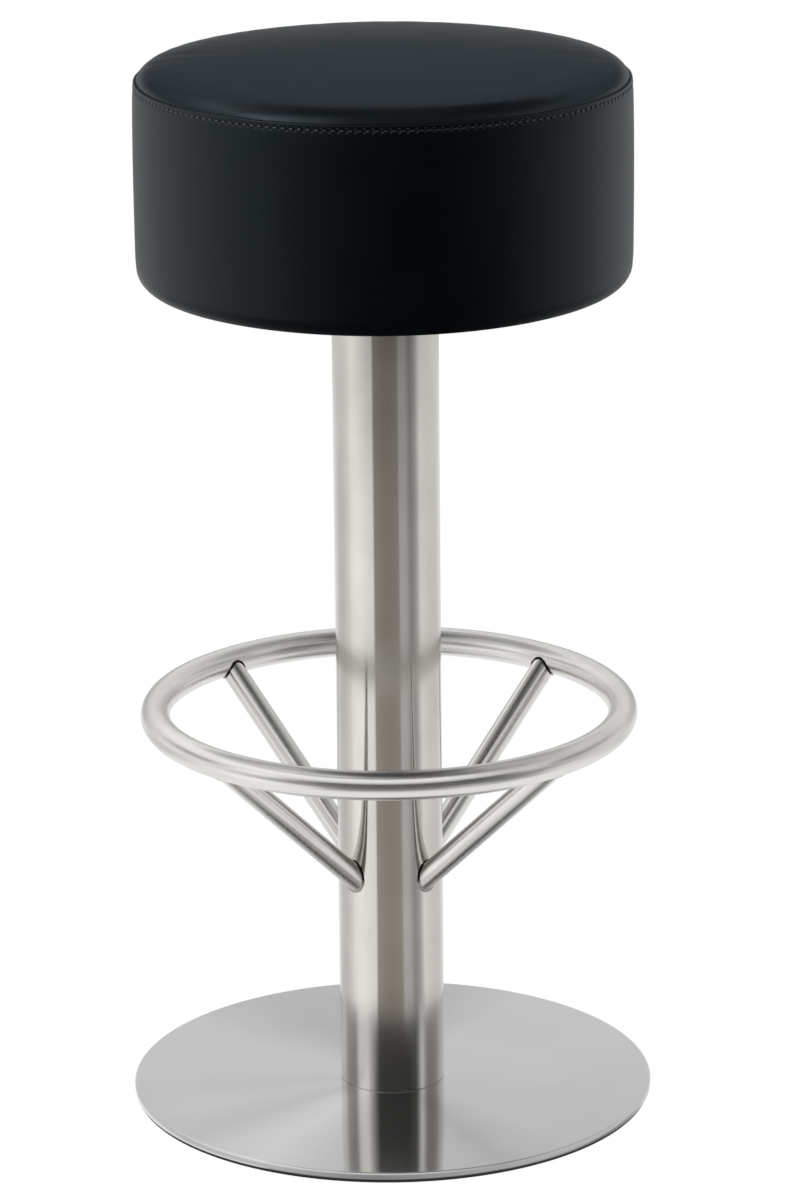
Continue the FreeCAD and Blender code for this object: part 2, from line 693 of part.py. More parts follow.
def seat_deck():
    body = new_body("seat_deck", f"{DECK_TOP} - deck_thickness")
    sketch = new_sketch(body, "seat_deck_circle", "XY_Plane")
    circles(sketch, [BOARD_RADIUS])
    pad = body.newObject("PartDesign::Pad", "seat_deck_pad")
    pad.Profile = sketch
    drive(pad, "Length", "deck_thickness")
    body.Tip = pad
    doc.recompute()
    return body


def side_radius(height, inset):
    """Radius of the seat's upper side at a height, moved inwards by an inset."""
    bow = f"({UPPER_SIDE_ROUND} - {inset})"
    return f"seat_radius - {inset} - {bow} + sqrt({bow} ^ 2 - (({height}) - seat_waist_height) ^ 2)"


def side_wadding():
    """Padding wrapped round the wooden drum, up to the deck."""
    inset = "(leather_thickness + soft_gap)"
    top = f"{DECK_TOP} - ({SEAT_UNDER})"
    inside = f"{BOARD_RADIUS} + soft_gap"
    return turned("side_wadding", SEAT_UNDER, [
        (inside, "lower_edge_radius"),
        (f"{LOWER_RADIUS} - {inset}", "lower_edge_radius"),
        (f"seat_radius - {inset}", "seat_waist_height"),
        (side_radius(top, inset), top),
        (inside, top),
    ], {1: (f"{LOWER_SIDE_ROUND} - {inset}", "right"), 2: (f"{UPPER_SIDE_ROUND} - {inset}", "right")})


def seat_foam():
    """Top padding with its crown and rounded shoulder."""
    inset = "(leather_thickness + soft_gap)"
    foot = f"{DECK_TOP} - ({SEAT_UNDER}) + soft_gap"
    return turned("seat_foam", SEAT_UNDER, [
        ("0", foot),
        (side_radius(foot, inset), foot),
        (f"{SEAM_RADIUS} - {inset}", "seat_side_height - seam_mitre - soft_gap"),
        (CROWN_EDGE, f"{CROWN_EDGE_HEIGHT} - {inset}"),
        ("crown_flat_radius", f"{CROWN_HEIGHT} - {inset}"),
        ("0", f"{CROWN_HEIGHT} - {inset}"),
    ], {
        1: (f"{UPPER_SIDE_ROUND} - {inset}", "right"),
        2: (f"shoulder_round - {inset}", "right"),
        3: (f"{CROWN_ROUND} - {inset}", "right"),
    })


def seat_cover_top():
    """Round leather panel: crown and shoulder, down to the seam."""
    drop = "leather_thickness"
    return turned("seat_cover_top", SEAT_UNDER, [
        ("0", f"{CROWN_HEIGHT} - {drop}"),
        ("crown_flat_radius", f"{CROWN_HEIGHT} - {drop}"),
        (CROWN_EDGE, f"{CROWN_EDGE_HEIGHT} - {drop}"),
        (f"{SEAM_RADIUS} - {drop}", "seat_side_height - seam_mitre + seam_gap / 2"),
        (SEAM_RADIUS, "seat_side_height + seam_gap / 2"),
        (CROWN_EDGE, CROWN_EDGE_HEIGHT),
        ("crown_flat_radius", CROWN_HEIGHT),
        ("0", CROWN_HEIGHT),
    ], {
        1: (f"{CROWN_ROUND} - {drop}", "left"),
        2: (f"shoulder_round - {drop}", "left"),
        4: ("shoulder_round", "right"),
        5: (CROWN_ROUND, "right"),
    })


def seat_cover_band():
    """Leather band round the side, turned under the board."""
    inset = "leather_thickness"
    corner = f"({LOWER_RADIUS} - lower_edge_radius)"
    hem = f"{corner} - turn_under_width"
    return turned("seat_cover_band", SEAT_UNDER, [
        (hem, "0"),
        (corner, "0"),
        (LOWER_RADIUS, "lower_edge_radius"),
        ("seat_radius", "seat_waist_height"),
        (SEAM_RADIUS, "seat_side_height - seam_gap / 2"),
        (f"{SEAM_RADIUS} - {inset}", "seat_side_height - seam_mitre - seam_gap / 2"),
        (f"seat_radius - {inset}", "seat_waist_height"),
        (f"{LOWER_RADIUS} - {inset}", "lower_edge_radius"),
        (corner, inset),
        (hem, inset),
    ], {
        1: ("lower_edge_radius", "right"),
        2: (LOWER_SIDE_ROUND, "right"),
        3: (UPPER_SIDE_ROUND, "right"),
        5: (f"{UPPER_SIDE_ROUND} - {inset}", "left"),
        6: (f"{LOWER_SIDE_ROUND} - {inset}", "left"),
        7: (f"lower_edge_radius - {inset}", "left"),
    })


def dust_cover():
    """Cloth under the seat, lapped over the hem of the leather and held by the seat plate."""
    hem = f"{LOWER_RADIUS} - lower_edge_radius - turn_under_width"
    body = turned("dust_cover", PLATE_TOP, [
        ("0", "0"),
        (f"{hem} - soft_gap - dust_cover_slope", "0"),
        (f"{hem} - soft_gap", "-leather_thickness"),
        (f"{hem} + dust_cover_lap", "-leather_thickness"),
        (f"{hem} + dust_cover_lap", "dust_cover_thickness - leather_thickness"),
        (f"{hem} - soft_gap", "dust_cover_thickness - leather_thickness"),
        (f"{hem} - soft_gap - dust_cover_slope", "dust_cover_thickness"),
        ("0", "dust_cover_thickness"),
    ])
    hole = drill(body, "bolt_hole", "bolt_radius + fit_gap", (BOLT_PLACE, BOLT_PLACE))
    repeat(body, [hole], CORNERS)
    return body


STRUTS = ["footrest_strut_back_right", "footrest_strut_back_left",
          "footrest_strut_front_left", "footrest_strut_front_right"]

pieces = [
    floor_ring(),
    base_weight(),
    base_cover(),
    base_screws(),
    column_foot_plate(),
    column_tube(),
    footrest_ring(),
    *[footrest_strut(label, quarter) for quarter, label in enumerate(STRUTS)],
    bearing_housing(),
    upper_bush(),
    lower_bush(),
    thrust_washer_lower(),
    bearing_cage(),
    bearing_balls(),
    thrust_washer_upper(),
    spindle(),
    retaining_washer(),
    retaining_clip(),
    seat_plate(),
    seat_washers(),
    seat_bolts(),
    tee_nuts(),
    seat_board(),
    seat_hoop(),
    seat_deck(),
    side_wadding(),
    seat_foam(),
    seat_cover_top(),
    seat_cover_band(),
    dust_cover(),
]
doc.recompute()

for item in doc.Objects:
    if "Invalid" in item.State or "Error" in item.State:
        raise RuntimeError(f"{item.Label} failed to recompute: {item.State}")
for piece in pieces:
    if piece.Shape.isNull() or not piece.Shape.isValid():
        raise RuntimeError(f"{piece.Label} has no valid shape")

os.makedirs("parts", exist_ok=True)
for piece in pieces:
    piece.Shape.exportStep(os.path.join("parts", f"{piece.Label}.step"))
    box = piece.Shape.BoundBox
    print(f"{piece.Label}: {len(piece.Shape.Solids)} solid, {piece.Shape.Volume:.1f} mm3, "
          f"z {box.ZMin:.2f} to {box.ZMax:.2f}, x {box.XMin:.2f} to {box.XMax:.2f}")
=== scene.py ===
"""Finished look of a padded swivel bar stool, built round its packed frame.

Lengths are in metres. +Z is up, -Y is the front, and the origin is on the floor under the column.
"""

import math
import random

import bmesh
import bpy
from bpy.props import FloatProperty, FloatVectorProperty, IntProperty, PointerProperty
from bpy.types import Operator, Panel, PropertyGroup
from mathutils import Matrix, Vector, noise


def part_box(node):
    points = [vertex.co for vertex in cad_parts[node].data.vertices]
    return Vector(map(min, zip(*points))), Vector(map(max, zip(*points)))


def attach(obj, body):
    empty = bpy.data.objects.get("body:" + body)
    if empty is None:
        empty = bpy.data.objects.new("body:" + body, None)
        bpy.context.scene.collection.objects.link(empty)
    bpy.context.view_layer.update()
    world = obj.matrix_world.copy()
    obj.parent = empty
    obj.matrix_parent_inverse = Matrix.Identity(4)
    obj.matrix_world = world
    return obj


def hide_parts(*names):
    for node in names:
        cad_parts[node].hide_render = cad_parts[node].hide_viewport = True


bl_info = {
    "name": "Swivel Bar Stool",
    "version": (1, 0, 0),
    "blender": (4, 5, 0),
    "location": "3D View > Sidebar > Bar Stool",
    "description": "Dresses the frame of a padded swivel bar stool with steel, leather and thread",
    "category": "Object",
}

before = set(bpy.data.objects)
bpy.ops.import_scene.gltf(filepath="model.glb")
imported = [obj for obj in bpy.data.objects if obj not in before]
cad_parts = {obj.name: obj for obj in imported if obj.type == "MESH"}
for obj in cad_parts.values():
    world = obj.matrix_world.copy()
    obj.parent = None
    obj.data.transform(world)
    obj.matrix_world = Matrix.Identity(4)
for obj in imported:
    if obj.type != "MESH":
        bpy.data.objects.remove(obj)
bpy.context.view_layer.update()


def reach(node):
    """Outer radius of a round node about the stool's axis."""
    return round(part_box(node)[1].x, 4)


def span(node):
    """Lowest and highest level of a node."""
    low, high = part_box(node)
    return round(low.z, 4), round(high.z, 4)


PLATE_RADIUS = reach("base_cover")
PLATE_RIM_FOOT, PLATE_TOP = span("base_cover")
RUBBER_RADIUS = reach("floor_ring")
RUBBER_TOP = span("floor_ring")[1]
COLUMN_RADIUS = reach("column_tube")
COLUMN_FOOT, COLUMN_TOP = span("column_tube")
RING_LOW, RING_HIGH = span("footrest_ring")
RING_TUBE_RADIUS = (RING_HIGH - RING_LOW) / 2
RING_LEVEL = (RING_HIGH + RING_LOW) / 2
RING_RADIUS = reach("footrest_ring") - RING_TUBE_RADIUS
SEAT_RADIUS = reach("seat_cover_band")
SEAT_UNDER, SEAM_LEVEL = span("seat_cover_band")
BOARD_RADIUS = reach("seat_board")
BOARD_UNDER = span("seat_board")[0]
DECK_TOP = span("seat_deck")[1]
PLATE_HALF_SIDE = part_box("seat_plate")[1].x
CLOTH_RADIUS = reach("dust_cover")
CLOTH_UNDER = span("dust_cover")[0]
RING_LENGTH = math.tau * RING_RADIUS
STRUT_AZIMUTHS = {"back_right": 45, "back_left": 135, "front_left": 225, "front_right": 315}
ROUND_STEPS = 256
MERGED = 0.00001


def length(label, meaning, default):
    return FloatProperty(name=label, description=meaning, default=default, unit="LENGTH",
                         subtype="DISTANCE", precision=4)


def slope(label, meaning, default):
    return FloatProperty(name=label, description=meaning, default=math.radians(default), subtype="ANGLE")


def level(label, meaning, default):
    return FloatProperty(name=label, description=meaning, default=default, min=0, precision=3)


def colour(label, meaning, default):
    return FloatVectorProperty(name=label, description=meaning, default=default, size=3,
                               min=0, max=1, subtype="COLOR")


class StoolSizes(PropertyGroup):
    """Lengths of the pieces that the frame's boxes don't give."""
    plate_edge: length("Plate edge", "Rounding of the floor plate's rolled edge", 0.002)
    plate_wall: length("Plate wall", "Sheet thickness of the floor plate's cover", 0.0012)
    rubber_width: length("Rubber width", "Radial width of the rubber floor ring", 0.014)
    column_wall: length("Column wall", "Wall of the column tube", 0.002)
    column_bevel: length("Column bevel", "Broken edge at the column's ends", 0.0005)
    strut_radius: length("Strut radius", "Outer radius of a footrest strut", 0.009)
    strut_foot_level: length("Strut foot", "Floor to a strut's centre line at the column", 0.181)
    weld_radius: length("Weld", "Radius of the weld round a strut's end", 0.0013)
    waist_level: length("Waist", "Seat's underside to its largest radius", 0.0836)
    lower_draw_in: length("Lower draw-in", "How far the side draws in above the lower edge", 0.0004)
    side_draw_in: length("Side draw-in", "How far the side draws in from the waist to the seam", 0.0009)
    side_roll: length("Side roll", "Rounding of the side where it turns into the seam", 0.0012)
    lower_edge: length("Lower edge", "Rounding of the seat's lower edge", 0.0135)
    turn_under: length("Turn-under", "Leather turned under the board", 0.02)
    seam_lift: length("Seam lift", "How far the stuffed padding lifts the seam", 0.0018)
    lean: length("Lean", "How much lower the padding sits at the back than at the front", 0.0055)
    crown_edge: length("Crown edge", "Radius at which the crown ends", 0.15)
    shoulder_edge: length("Shoulder edge", "Radius at which the shoulder starts", 0.17)
    panel_edge: length("Panel edge", "Radius of the top panel at the seam", 0.1818)
    crown_slope: slope("Crown slope", "Slope of the crown at its edge", 2.2)
    shoulder_slope: slope("Shoulder slope", "Slope at which the shoulder starts", 12)
    seam_slope: slope("Seam slope", "Slope of the shoulder at the seam", 70)
    seam_roll: length("Seam roll", "Radius of the top panel's edge rolled into the seam", 0.0008)
    leather: length("Leather", "Thickness of the leather", 0.0009)
    padding_gap: length("Padding gap", "Leather's outside to the padding under it", 0.0015)
    stitch_drop: length("Stitch drop", "Seam to the row of stitches under it", 0.0042)
    stitch_pitch: length("Stitch pitch", "Distance from stitch to stitch", 0.00625)
    stitch_length: length("Stitch length", "Visible length of a stitch", 0.0032)
    thread: length("Thread", "Radius of the sewing thread", 0.0006)
    staple: length("Staple", "Crown length of a staple", 0.010)
    staple_wire: length("Staple wire", "Thickness of a staple's wire", 0.0008)
    staple_count: IntProperty(name="Staples", description="Staples round the dust cloth", default=36)
    pleat_count: IntProperty(name="Pleats", description="Pleats in the turned-under leather", default=44)


class StoolColours(PropertyGroup):
    """Colours of the finishes."""
    steel: colour("Steel", "Brushed stainless steel of the column", (0.76, 0.742, 0.70))
    tube: colour("Tube", "Satin stainless steel of the footrest", (0.87, 0.855, 0.83))
    plate: colour("Plate", "Stainless steel of the floor plate", (0.70, 0.70, 0.712))
    weld: colour("Weld", "Weld bead", (0.5, 0.48, 0.45))
    zinc: colour("Zinc", "Zinc-plated fasteners", (0.60, 0.59, 0.56))
    machined: colour("Machined", "Turned plain steel", (0.42, 0.41, 0.40))
    bearing: colour("Bearing", "Hardened ground steel", (0.50, 0.50, 0.51))
    bronze: colour("Bronze", "Sintered bronze bushes", (0.50, 0.31, 0.14))
    brass: colour("Brass", "Brass ball cage", (0.72, 0.53, 0.24))
    iron: colour("Iron", "Painted cast ballast", (0.05, 0.05, 0.052))
    rubber: colour("Rubber", "Floor ring", (0.012, 0.012, 0.012))
    powder: colour("Powder", "Powder coat of the seat plate", (0.016, 0.016, 0.017))
    birch: colour("Birch", "Face veneer of the plywood", (0.62, 0.44, 0.27))
    leather: colour("Leather", "Black upholstery leather", (0.0007, 0.0028, 0.0043))
    thread: colour("Thread", "Top-stitching thread", (0.014, 0.017, 0.022))
    foam: colour("Foam", "Seat foam", (0.72, 0.66, 0.42))
    wadding: colour("Wadding", "Polyester wadding", (0.78, 0.78, 0.76))
    cloth: colour("Cloth", "Dust cloth under the seat", (0.03, 0.03, 0.032))


class StoolStudio(PropertyGroup):
    """Light of the studio."""
    sky: level("Sky", "Soft light from all round", 0.55)
    overhead: level("Overhead", "Radiance of the softbox above", 1.3)
    side: level("Side", "Radiance of the softboxes beside the stool", 0.8)
    backdrop: level("Backdrop", "Share of plain white in the floor as the camera sees it", 0.985)
    floor: colour("Floor", "Pale floor", (0.9, 0.9, 0.9))


def chosen(context):
    """The sizes and the colours set in the panel."""
    return context.scene.stool_sizes, context.scene.stool_colours


METAL = {"Metallic": 1.0}
WHITE = (1, 1, 1, 1)


def triple(shade):
    """Three numbers: one of them thrice, or the three that are given."""
    return tuple(shade) if hasattr(shade, "__len__") else (shade,) * 3


class Finish:
    """The nodes of a material or of the world, under construction."""

    def __init__(self, name, kind="materials"):
        self.owner = getattr(bpy.data, kind).new(name)
        self.owner.use_nodes = True
        self.tree = self.owner.node_tree
        self.tree.nodes.clear()

    def node(self, kind, inputs=None, **settings):
        """A new node, with its settings and its inputs linked or set."""
        made = self.tree.nodes.new(f"ShaderNode{kind}")
        for name, setting in settings.items():
            setattr(made, name, setting)
        for name, source in (inputs or {}).items():
            if isinstance(source, bpy.types.NodeSocket):
                self.tree.links.new(source, made.inputs[name])
            else:
                made.inputs[name].default_value = source
        return made

    def maths(self, operation, first, second=0.0, third=0.0):
        """The result of a sum of up to three values."""
        return self.node("Math", {0: first, 1: second, 2: third}, operation=operation).outputs[0]

    def times(self, first, second):
        """The product of two colours or points."""
        return self.node("VectorMath", {0: first, 1: second}, operation="MULTIPLY").outputs[0]

    def place(self):
        """The point of the piece, in metres."""
        return self.node("TexCoord").outputs["Object"]

    def axis(self, index):
        """The point's place along X, Y or Z."""
        return self.node("SeparateXYZ", {0: self.place()}).outputs[index]

    def radius(self):
        """The point's distance from the column's axis."""
        flat = self.times(self.place(), (1, 1, 0))
        return self.node("VectorMath", {0: flat}, operation="LENGTH").outputs["Value"]

    def elevation(self, centre_level, radius):
        """Degrees of the point above the centre of a round card."""
        height = self.maths("SUBTRACT", self.axis(2), centre_level)
        return self.maths("DEGREES", self.maths("ARCSINE", self.maths("DIVIDE", height, radius)))

    def polar(self, fine, coarse):
        """A point whose first axis follows the radius, for a pattern of rings round the column."""
        inputs = {"X": self.maths("MULTIPLY", self.radius(), fine),
                  "Y": self.maths("MULTIPLY", self.axis(0), coarse),
                  "Z": self.maths("MULTIPLY", self.axis(1), coarse)}
        return self.node("CombineXYZ", inputs).outputs[0]

    def stretched(self, scale, source=None):
        """A point scaled, once or along each axis, so that a pattern may be finer one way than another."""
        inputs = {"Vector": source or self.place(), "Scale": triple(scale)}
        return self.node("Mapping", inputs).outputs["Vector"]

    def grain(self, scale, source=None, detail=2.0, roughness=0.5):
        """Noise from 0 to 1, with its fineness given per metre."""
        inputs = {"Vector": self.stretched(scale, source), "Scale": 1.0, "Detail": detail,
                  "Roughness": roughness}
        return self.node("TexNoise", inputs).outputs[0]

    def cells(self, scale):
        """Distance to the nearest of scattered points, with their fineness given per metre."""
        inputs = {"Vector": self.stretched(scale), "Scale": 1.0}
        return self.node("TexVoronoi", inputs).outputs["Distance"]

    def ramp(self, source, stops):
        """Colours or levels along a value from 0 to 1."""
        made = self.node("ValToRGB", {"Fac": source})
        elements = made.color_ramp.elements
        while len(elements) < len(stops):
            elements.new(1.0)
        for element, (position, shade) in zip(elements, stops):
            element.position = position
            element.color = (*triple(shade), 1.0)
        return made.outputs["Color"]

    def by_azimuth(self, stops):
        """Shades round the column, by degrees from the front, right positive."""
        ahead = self.maths("MULTIPLY", self.axis(1), -1)
        turns = self.maths("DIVIDE", self.maths("ARCTAN2", self.axis(0), ahead), math.tau)
        positions = [((degrees + 180) / 360, shade) for degrees, shade in stops]
        return self.ramp(self.maths("ADD", turns, 0.5), positions)

    def between(self, source, low, high, start=0.0, end=1.0, kind="LINEAR"):
        """A value laid out between two others while the source goes from a start to an end."""
        inputs = {"Value": source, "From Min": start, "From Max": end, "To Min": low, "To Max": high}
        return self.node("MapRange", inputs, interpolation_type=kind).outputs["Result"]

    def eased(self, source, start, end):
        """A smooth change from 0 to 1 while the source goes from a start to an end."""
        return self.between(source, 0.0, 1.0, start, end, "SMOOTHSTEP")

    def blended(self, share, first, second):
        """One shade turning into another, which may be a plain grey."""
        if not isinstance(second, bpy.types.NodeSocket):
            second = (*triple(second), 1)
        return self.node("MixRGB", {"Fac": share, "Color1": first, "Color2": second}).outputs[0]

    def varied(self, source, tone, spread):
        """A colour made a little darker and lighter by a value from 0 to 1."""
        darker = [channel * (1 - spread) for channel in tone]
        lighter = [channel * (1 + spread) for channel in tone]
        return self.ramp(source, [(0.25, darker), (0.75, lighter)])

    def slant(self):
        """How aslant a ray meets the surface, from 0 for straight on to 1."""
        return self.node("LayerWeight").outputs["Facing"]

    def shown(self):
        """1 for a ray of the camera, of gloss or through glass, else 0."""
        path = self.node("LightPath").outputs
        seen = self.maths("MAXIMUM", path["Is Camera Ray"], path["Is Glossy Ray"])
        return self.maths("MAXIMUM", seen, path["Is Transmission Ray"])

    def round_brushed(self):
        """The shader's values for steel whose hairlines run round the column."""
        tangent = self.node("Tangent", direction_type="RADIAL", axis="Z").outputs[0]
        return {**METAL, "Anisotropic": 0.93, "Anisotropic Rotation": 0.25, "Tangent": tangent}

    def surface(self, colour, pattern, roughness, depth, more=None, height=None):
        """Ends a material: its roughness follows a pattern, and so does its bump, if no height is given."""
        bump = self.node("Bump", {"Height": height or pattern, "Distance": depth})
        inputs = {"Base Color": colour, "Roughness": self.between(pattern, *roughness),
                  "Normal": bump.outputs["Normal"], **(more or {})}
        shader = self.node("BsdfPrincipled", inputs)
        self.node("OutputMaterial", {"Surface": shader.outputs[0]})
        return self.owner


# Painted reflection: fans of light and dark in the brushed plate's colour, standing in for its highlights, by
# degrees from the front, right positive
PLATE_PAINTED_FANS = [(-180, 0.85), (-162, 0.79), (-153, 0.77), (-142, 0.84), (-120, 0.98), (-96, 0.98),
              (-80, 0.93), (-66, 0.98), (-52, 0.9), (-40, 1.05), (-31, 1.1), (-22, 1.0), (-10, 0.87),
              (0, 0.87), (14, 0.83), (24, 0.73), (33, 0.82), (42, 0.88), (58, 0.88), (84, 0.93),
              (112, 0.97), (130, 0.95), (147, 0.96), (154, 0.89), (163, 0.81), (180, 0.85)]


def plate_steel(tone):
    """Stainless sheet brushed in rings round the column, a little cloudy, with painted reflection fans in its
    colour.
    """
    finish = Finish("turned_plate_steel")
    rings = finish.grain(1, finish.polar(2600, 5), detail=3)
    clouded = finish.varied(finish.grain(14, detail=3), tone, 0.03)
    # Painted reflection: the colour is made lighter and darker in fans round the column.
    painted_fan_colour = finish.times(clouded, finish.by_azimuth(PLATE_PAINTED_FANS))
    return finish.surface(painted_fan_colour, rings, (0.07, 0.095), 0.000001, finish.round_brushed())


def column_steel(tone):
    """Stainless tube polished round its girth, with hairlines that run round it."""
    finish = Finish("brushed_column_steel")
    hairs = finish.grain((40, 40, 4200), detail=3)
    patched = finish.varied(finish.grain((34, 34, 22), detail=3), tone, 0.06)
    return finish.surface(patched, hairs, (0.11, 0.15), 0.000002, finish.round_brushed())


def tube_steel(tone):
    """Bent and straight tubes, satin along their length; u runs round the tube and v along it."""
    finish = Finish("satin_footrest_steel")
    along = finish.node("UVMap", uv_map="tube").outputs[0]
    hairs = finish.grain((160, 25, 1), along, detail=3)
    patched = finish.varied(finish.grain((3, 18, 1), along), tone, 0.06)
    return finish.surface(patched, hairs, (0.22, 0.3), 0.000002, METAL)


def weld_steel(tone):
    """Weld bead with painted shade, near black on its upper half where it sits in the sharp side of a joint.
    """
    finish = Finish("weld_steel")
    ripples = finish.grain(900, detail=3)
    painted_crevice_shade = finish.node("Attribute", attribute_name="painted_crevice_shade").outputs["Fac"]
    # Painted shade: the upper half of the bead turns near black.
    shade = finish.ramp(painted_crevice_shade, [(0.3, 1), (0.5, (0.04, 0.037, 0.033))])
    crevice_shaded = finish.times(finish.varied(ripples, tone, 0.3), shade)
    return finish.surface(crevice_shaded, ripples, (0.3, 0.55), 0.0001, METAL)


def turned_metal(name, tone, roughness):
    """Turned part with fine tool rings along its axis and round it."""
    finish = Finish(name)
    rings = finish.grain(1, finish.polar(3000, 10))
    lines = finish.grain((10, 10, 3000))
    both = finish.maths("MULTIPLY", finish.maths("ADD", rings, lines), 0.5)
    return finish.surface(finish.varied(both, tone, 0.12), both, roughness, 0.00001, METAL)


def speckled_metal(name, tone, scale, roughness, depth):
    """Plated or sintered metal with an even speckle."""
    finish = Finish(name)
    specks = finish.grain(scale, detail=4, roughness=0.6)
    return finish.surface(finish.varied(specks, tone, 0.22), specks, roughness, depth, METAL)


def zinc_finish(colours):
    """The fasteners' plating, made once."""
    made = bpy.data.materials.get("zinc_plate")
    return made or speckled_metal("zinc_plate", colours.zinc, 500, (0.28, 0.42), 0.00002)


def painted_iron(tone):
    """Paint over the rough skin of a casting."""
    finish = Finish("painted_cast_iron")
    skin = finish.grain(700, detail=5, roughness=0.65)
    return finish.surface(finish.varied(skin, tone, 0.3), skin, (0.55, 0.8), 0.0003)


def ring_rubber(tone):
    """Black rubber, a little dusty."""
    finish = Finish("floor_ring_rubber")
    dust = finish.grain(260, detail=4)
    return finish.surface(finish.varied(dust, tone, 0.4), dust, (0.6, 0.85), 0.0001)


def powder_coat(tone):
    """Black powder coat with a fine orange peel."""
    finish = Finish("black_powder_coat")
    peel = finish.cells(900)
    return finish.surface(finish.varied(peel, tone, 0.2), peel, (0.38, 0.52), 0.00006)


def plywood(name, tone, ply, by_radius=False):
    """Birch plywood: plies across its thickness and grain along its face."""
    finish = Finish(name)
    through = finish.radius() if by_radius else finish.axis(2)
    layer = finish.maths("FRACT", finish.maths("DIVIDE", through, 2 * ply))
    end_grain = [channel * 0.62 for channel in tone]
    plies = finish.ramp(layer, [(0.0, tone), (0.46, tone), (0.5, end_grain), (0.96, end_grain), (1.0, tone)])
    grain = finish.grain((14, 420, 90), detail=4)
    streaked = finish.times(plies, finish.varied(grain, (0.92, 0.9, 0.86), 0.1))
    return finish.surface(streaked, grain, (0.5, 0.7), 0.0001)


def foam_finish(tone):
    """Foam with its cut open cells."""
    finish = Finish("open_cell_foam")
    pores = finish.cells(900)
    return finish.surface(finish.varied(pores, tone, 0.12), pores, (0.8, 0.95), 0.0006)


def wadding_finish(tone):
    """Loose polyester fibres."""
    finish = Finish("polyester_wadding")
    fibres = finish.grain((220, 220, 500), detail=8, roughness=0.75)
    return finish.surface(finish.varied(fibres, tone, 0.06), fibres, (0.85, 0.98), 0.0012,
                          {"Sheen Weight": 0.3, "Sheen Roughness": 0.5})


def leather_finish(name, tone, sewn=None):
    """Smooth black leather with a fine pebble, puckered where it is given the sizes of its stitches."""
    finish = Finish(name)
    hand = finish.grain(22, detail=3)
    height = finish.maths("MULTIPLY_ADD", finish.cells(1400), 0.05, hand)
    if sewn:
        height = finish.maths("ADD", height, stitch_puckers(finish, sewn))
    return finish.surface(finish.varied(hand, tone, 0.25), hand, (0.26, 0.32), 0.0003,
                          {"Specular IOR Level": 0.5, "Specular Tint": (0.72, 0.88, 1.0, 1.0)}, height)


def stitch_puckers(finish, sizes):
    """Height of the leather along the row of stitches: pulled in at each needle hole."""
    half_width, pull = 0.0022, -4.5
    turn = finish.maths("ARCTAN2", finish.axis(1), finish.axis(0))
    wave = finish.maths("COSINE", finish.maths("MULTIPLY", turn, stitch_count(sizes)))
    hole = finish.maths("POWER", finish.maths("MAXIMUM", finish.maths("MULTIPLY", wave, -1), 0), 2)
    row = seam_level(sizes) - sizes.stitch_drop
    half_lean = sizes.lean * stuffed_share(sizes, row) / 2
    leaned_row = finish.maths("MULTIPLY_ADD", finish.axis(1), -half_lean / SEAT_RADIUS, row - half_lean)
    away = finish.maths("ABSOLUTE", finish.maths("SUBTRACT", finish.axis(2), leaned_row))
    inside = finish.maths("SUBTRACT", 1, finish.maths("DIVIDE", away, half_width))
    pulled = finish.maths("MULTIPLY", hole, finish.maths("MAXIMUM", inside, 0))
    return finish.maths("MULTIPLY", pulled, pull)


def thread_finish(tone):
    """Twisted polyester thread; the twist crosses the stitches at a slant."""
    finish = Finish("upholstery_thread")
    twist = finish.grain((900, 900, 2600), detail=1)
    return finish.surface(finish.varied(twist, tone, 0.35), twist, (0.3, 0.42), 0.0002,
                          {"IOR": 1.8, "Specular IOR Level": 0.85})


def cloth_finish(tone):
    """Black bonded cloth with its pattern of pressed dots."""
    finish = Finish("bonded_dust_cloth")
    fibres = finish.grain(900, detail=6, roughness=0.7)
    height = finish.maths("MULTIPLY_ADD", fibres, 0.4, finish.cells(650))
    return finish.surface(finish.varied(fibres, tone, 0.35), fibres, (0.75, 0.95), 0.0003,
                          {"Sheen Weight": 0.15, "Sheen Roughness": 0.6}, height)


def corner(middle, radius, start, end, steps):
    """Points on a round corner, from one angle in degrees to another."""
    angles = [math.radians(start + (end - start) * step / steps) for step in range(steps + 1)]
    return [(middle[0] + radius * math.cos(angle), middle[1] + radius * math.sin(angle)) for angle in angles]


def spun(section, steps=ROUND_STEPS, closed=True):
    """A bmesh of a section of (radius, height) points, spun about the stool's axis."""
    mesh = bmesh.new()
    points = [mesh.verts.new((radius, 0, height)) for radius, height in section]
    pairs = zip(points, points[1:] + points[:1]) if closed else zip(points, points[1:])
    edges = [mesh.edges.new(pair) for pair in pairs]
    bmesh.ops.spin(mesh, geom=points + edges, cent=(0, 0, 0), axis=(0, 0, 1), angle=math.tau,
                   steps=steps, use_merge=True, use_duplicate=False)
    bmesh.ops.remove_doubles(mesh, verts=mesh.verts, dist=MERGED)
    bmesh.ops.recalc_face_normals(mesh, faces=mesh.faces)
    return mesh


def linked(name, data):
    """A new object in the scene."""
    made = bpy.data.objects.new(name, data)
    bpy.context.scene.collection.objects.link(made)
    return made


def shaped(name, mesh, material):
    """A smooth object made of a bmesh, with its material."""
    data = bpy.data.meshes.new(name)
    mesh.to_mesh(data)
    mesh.free()
    data.shade_smooth()
    data.materials.append(material)
    return linked(name, data)


def modify(made, name, kind, **settings):
    """Adds a modifier to a piece, with its settings."""
    modifier = made.modifiers.new(name, kind)
    for setting, amount in settings.items():
        setattr(modifier, setting, amount)


def piece(name, mesh, material, body, replaced=(), crease=35):
    """Makes a finished piece of a bmesh, with its material and its body, and hides the nodes that it stands
    for.
    """
    made = shaped(name, mesh, material)
    made.data.set_sharp_from_angle(angle=math.radians(crease))
    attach(made, body)
    if replaced:
        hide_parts(*replaced)
    return made


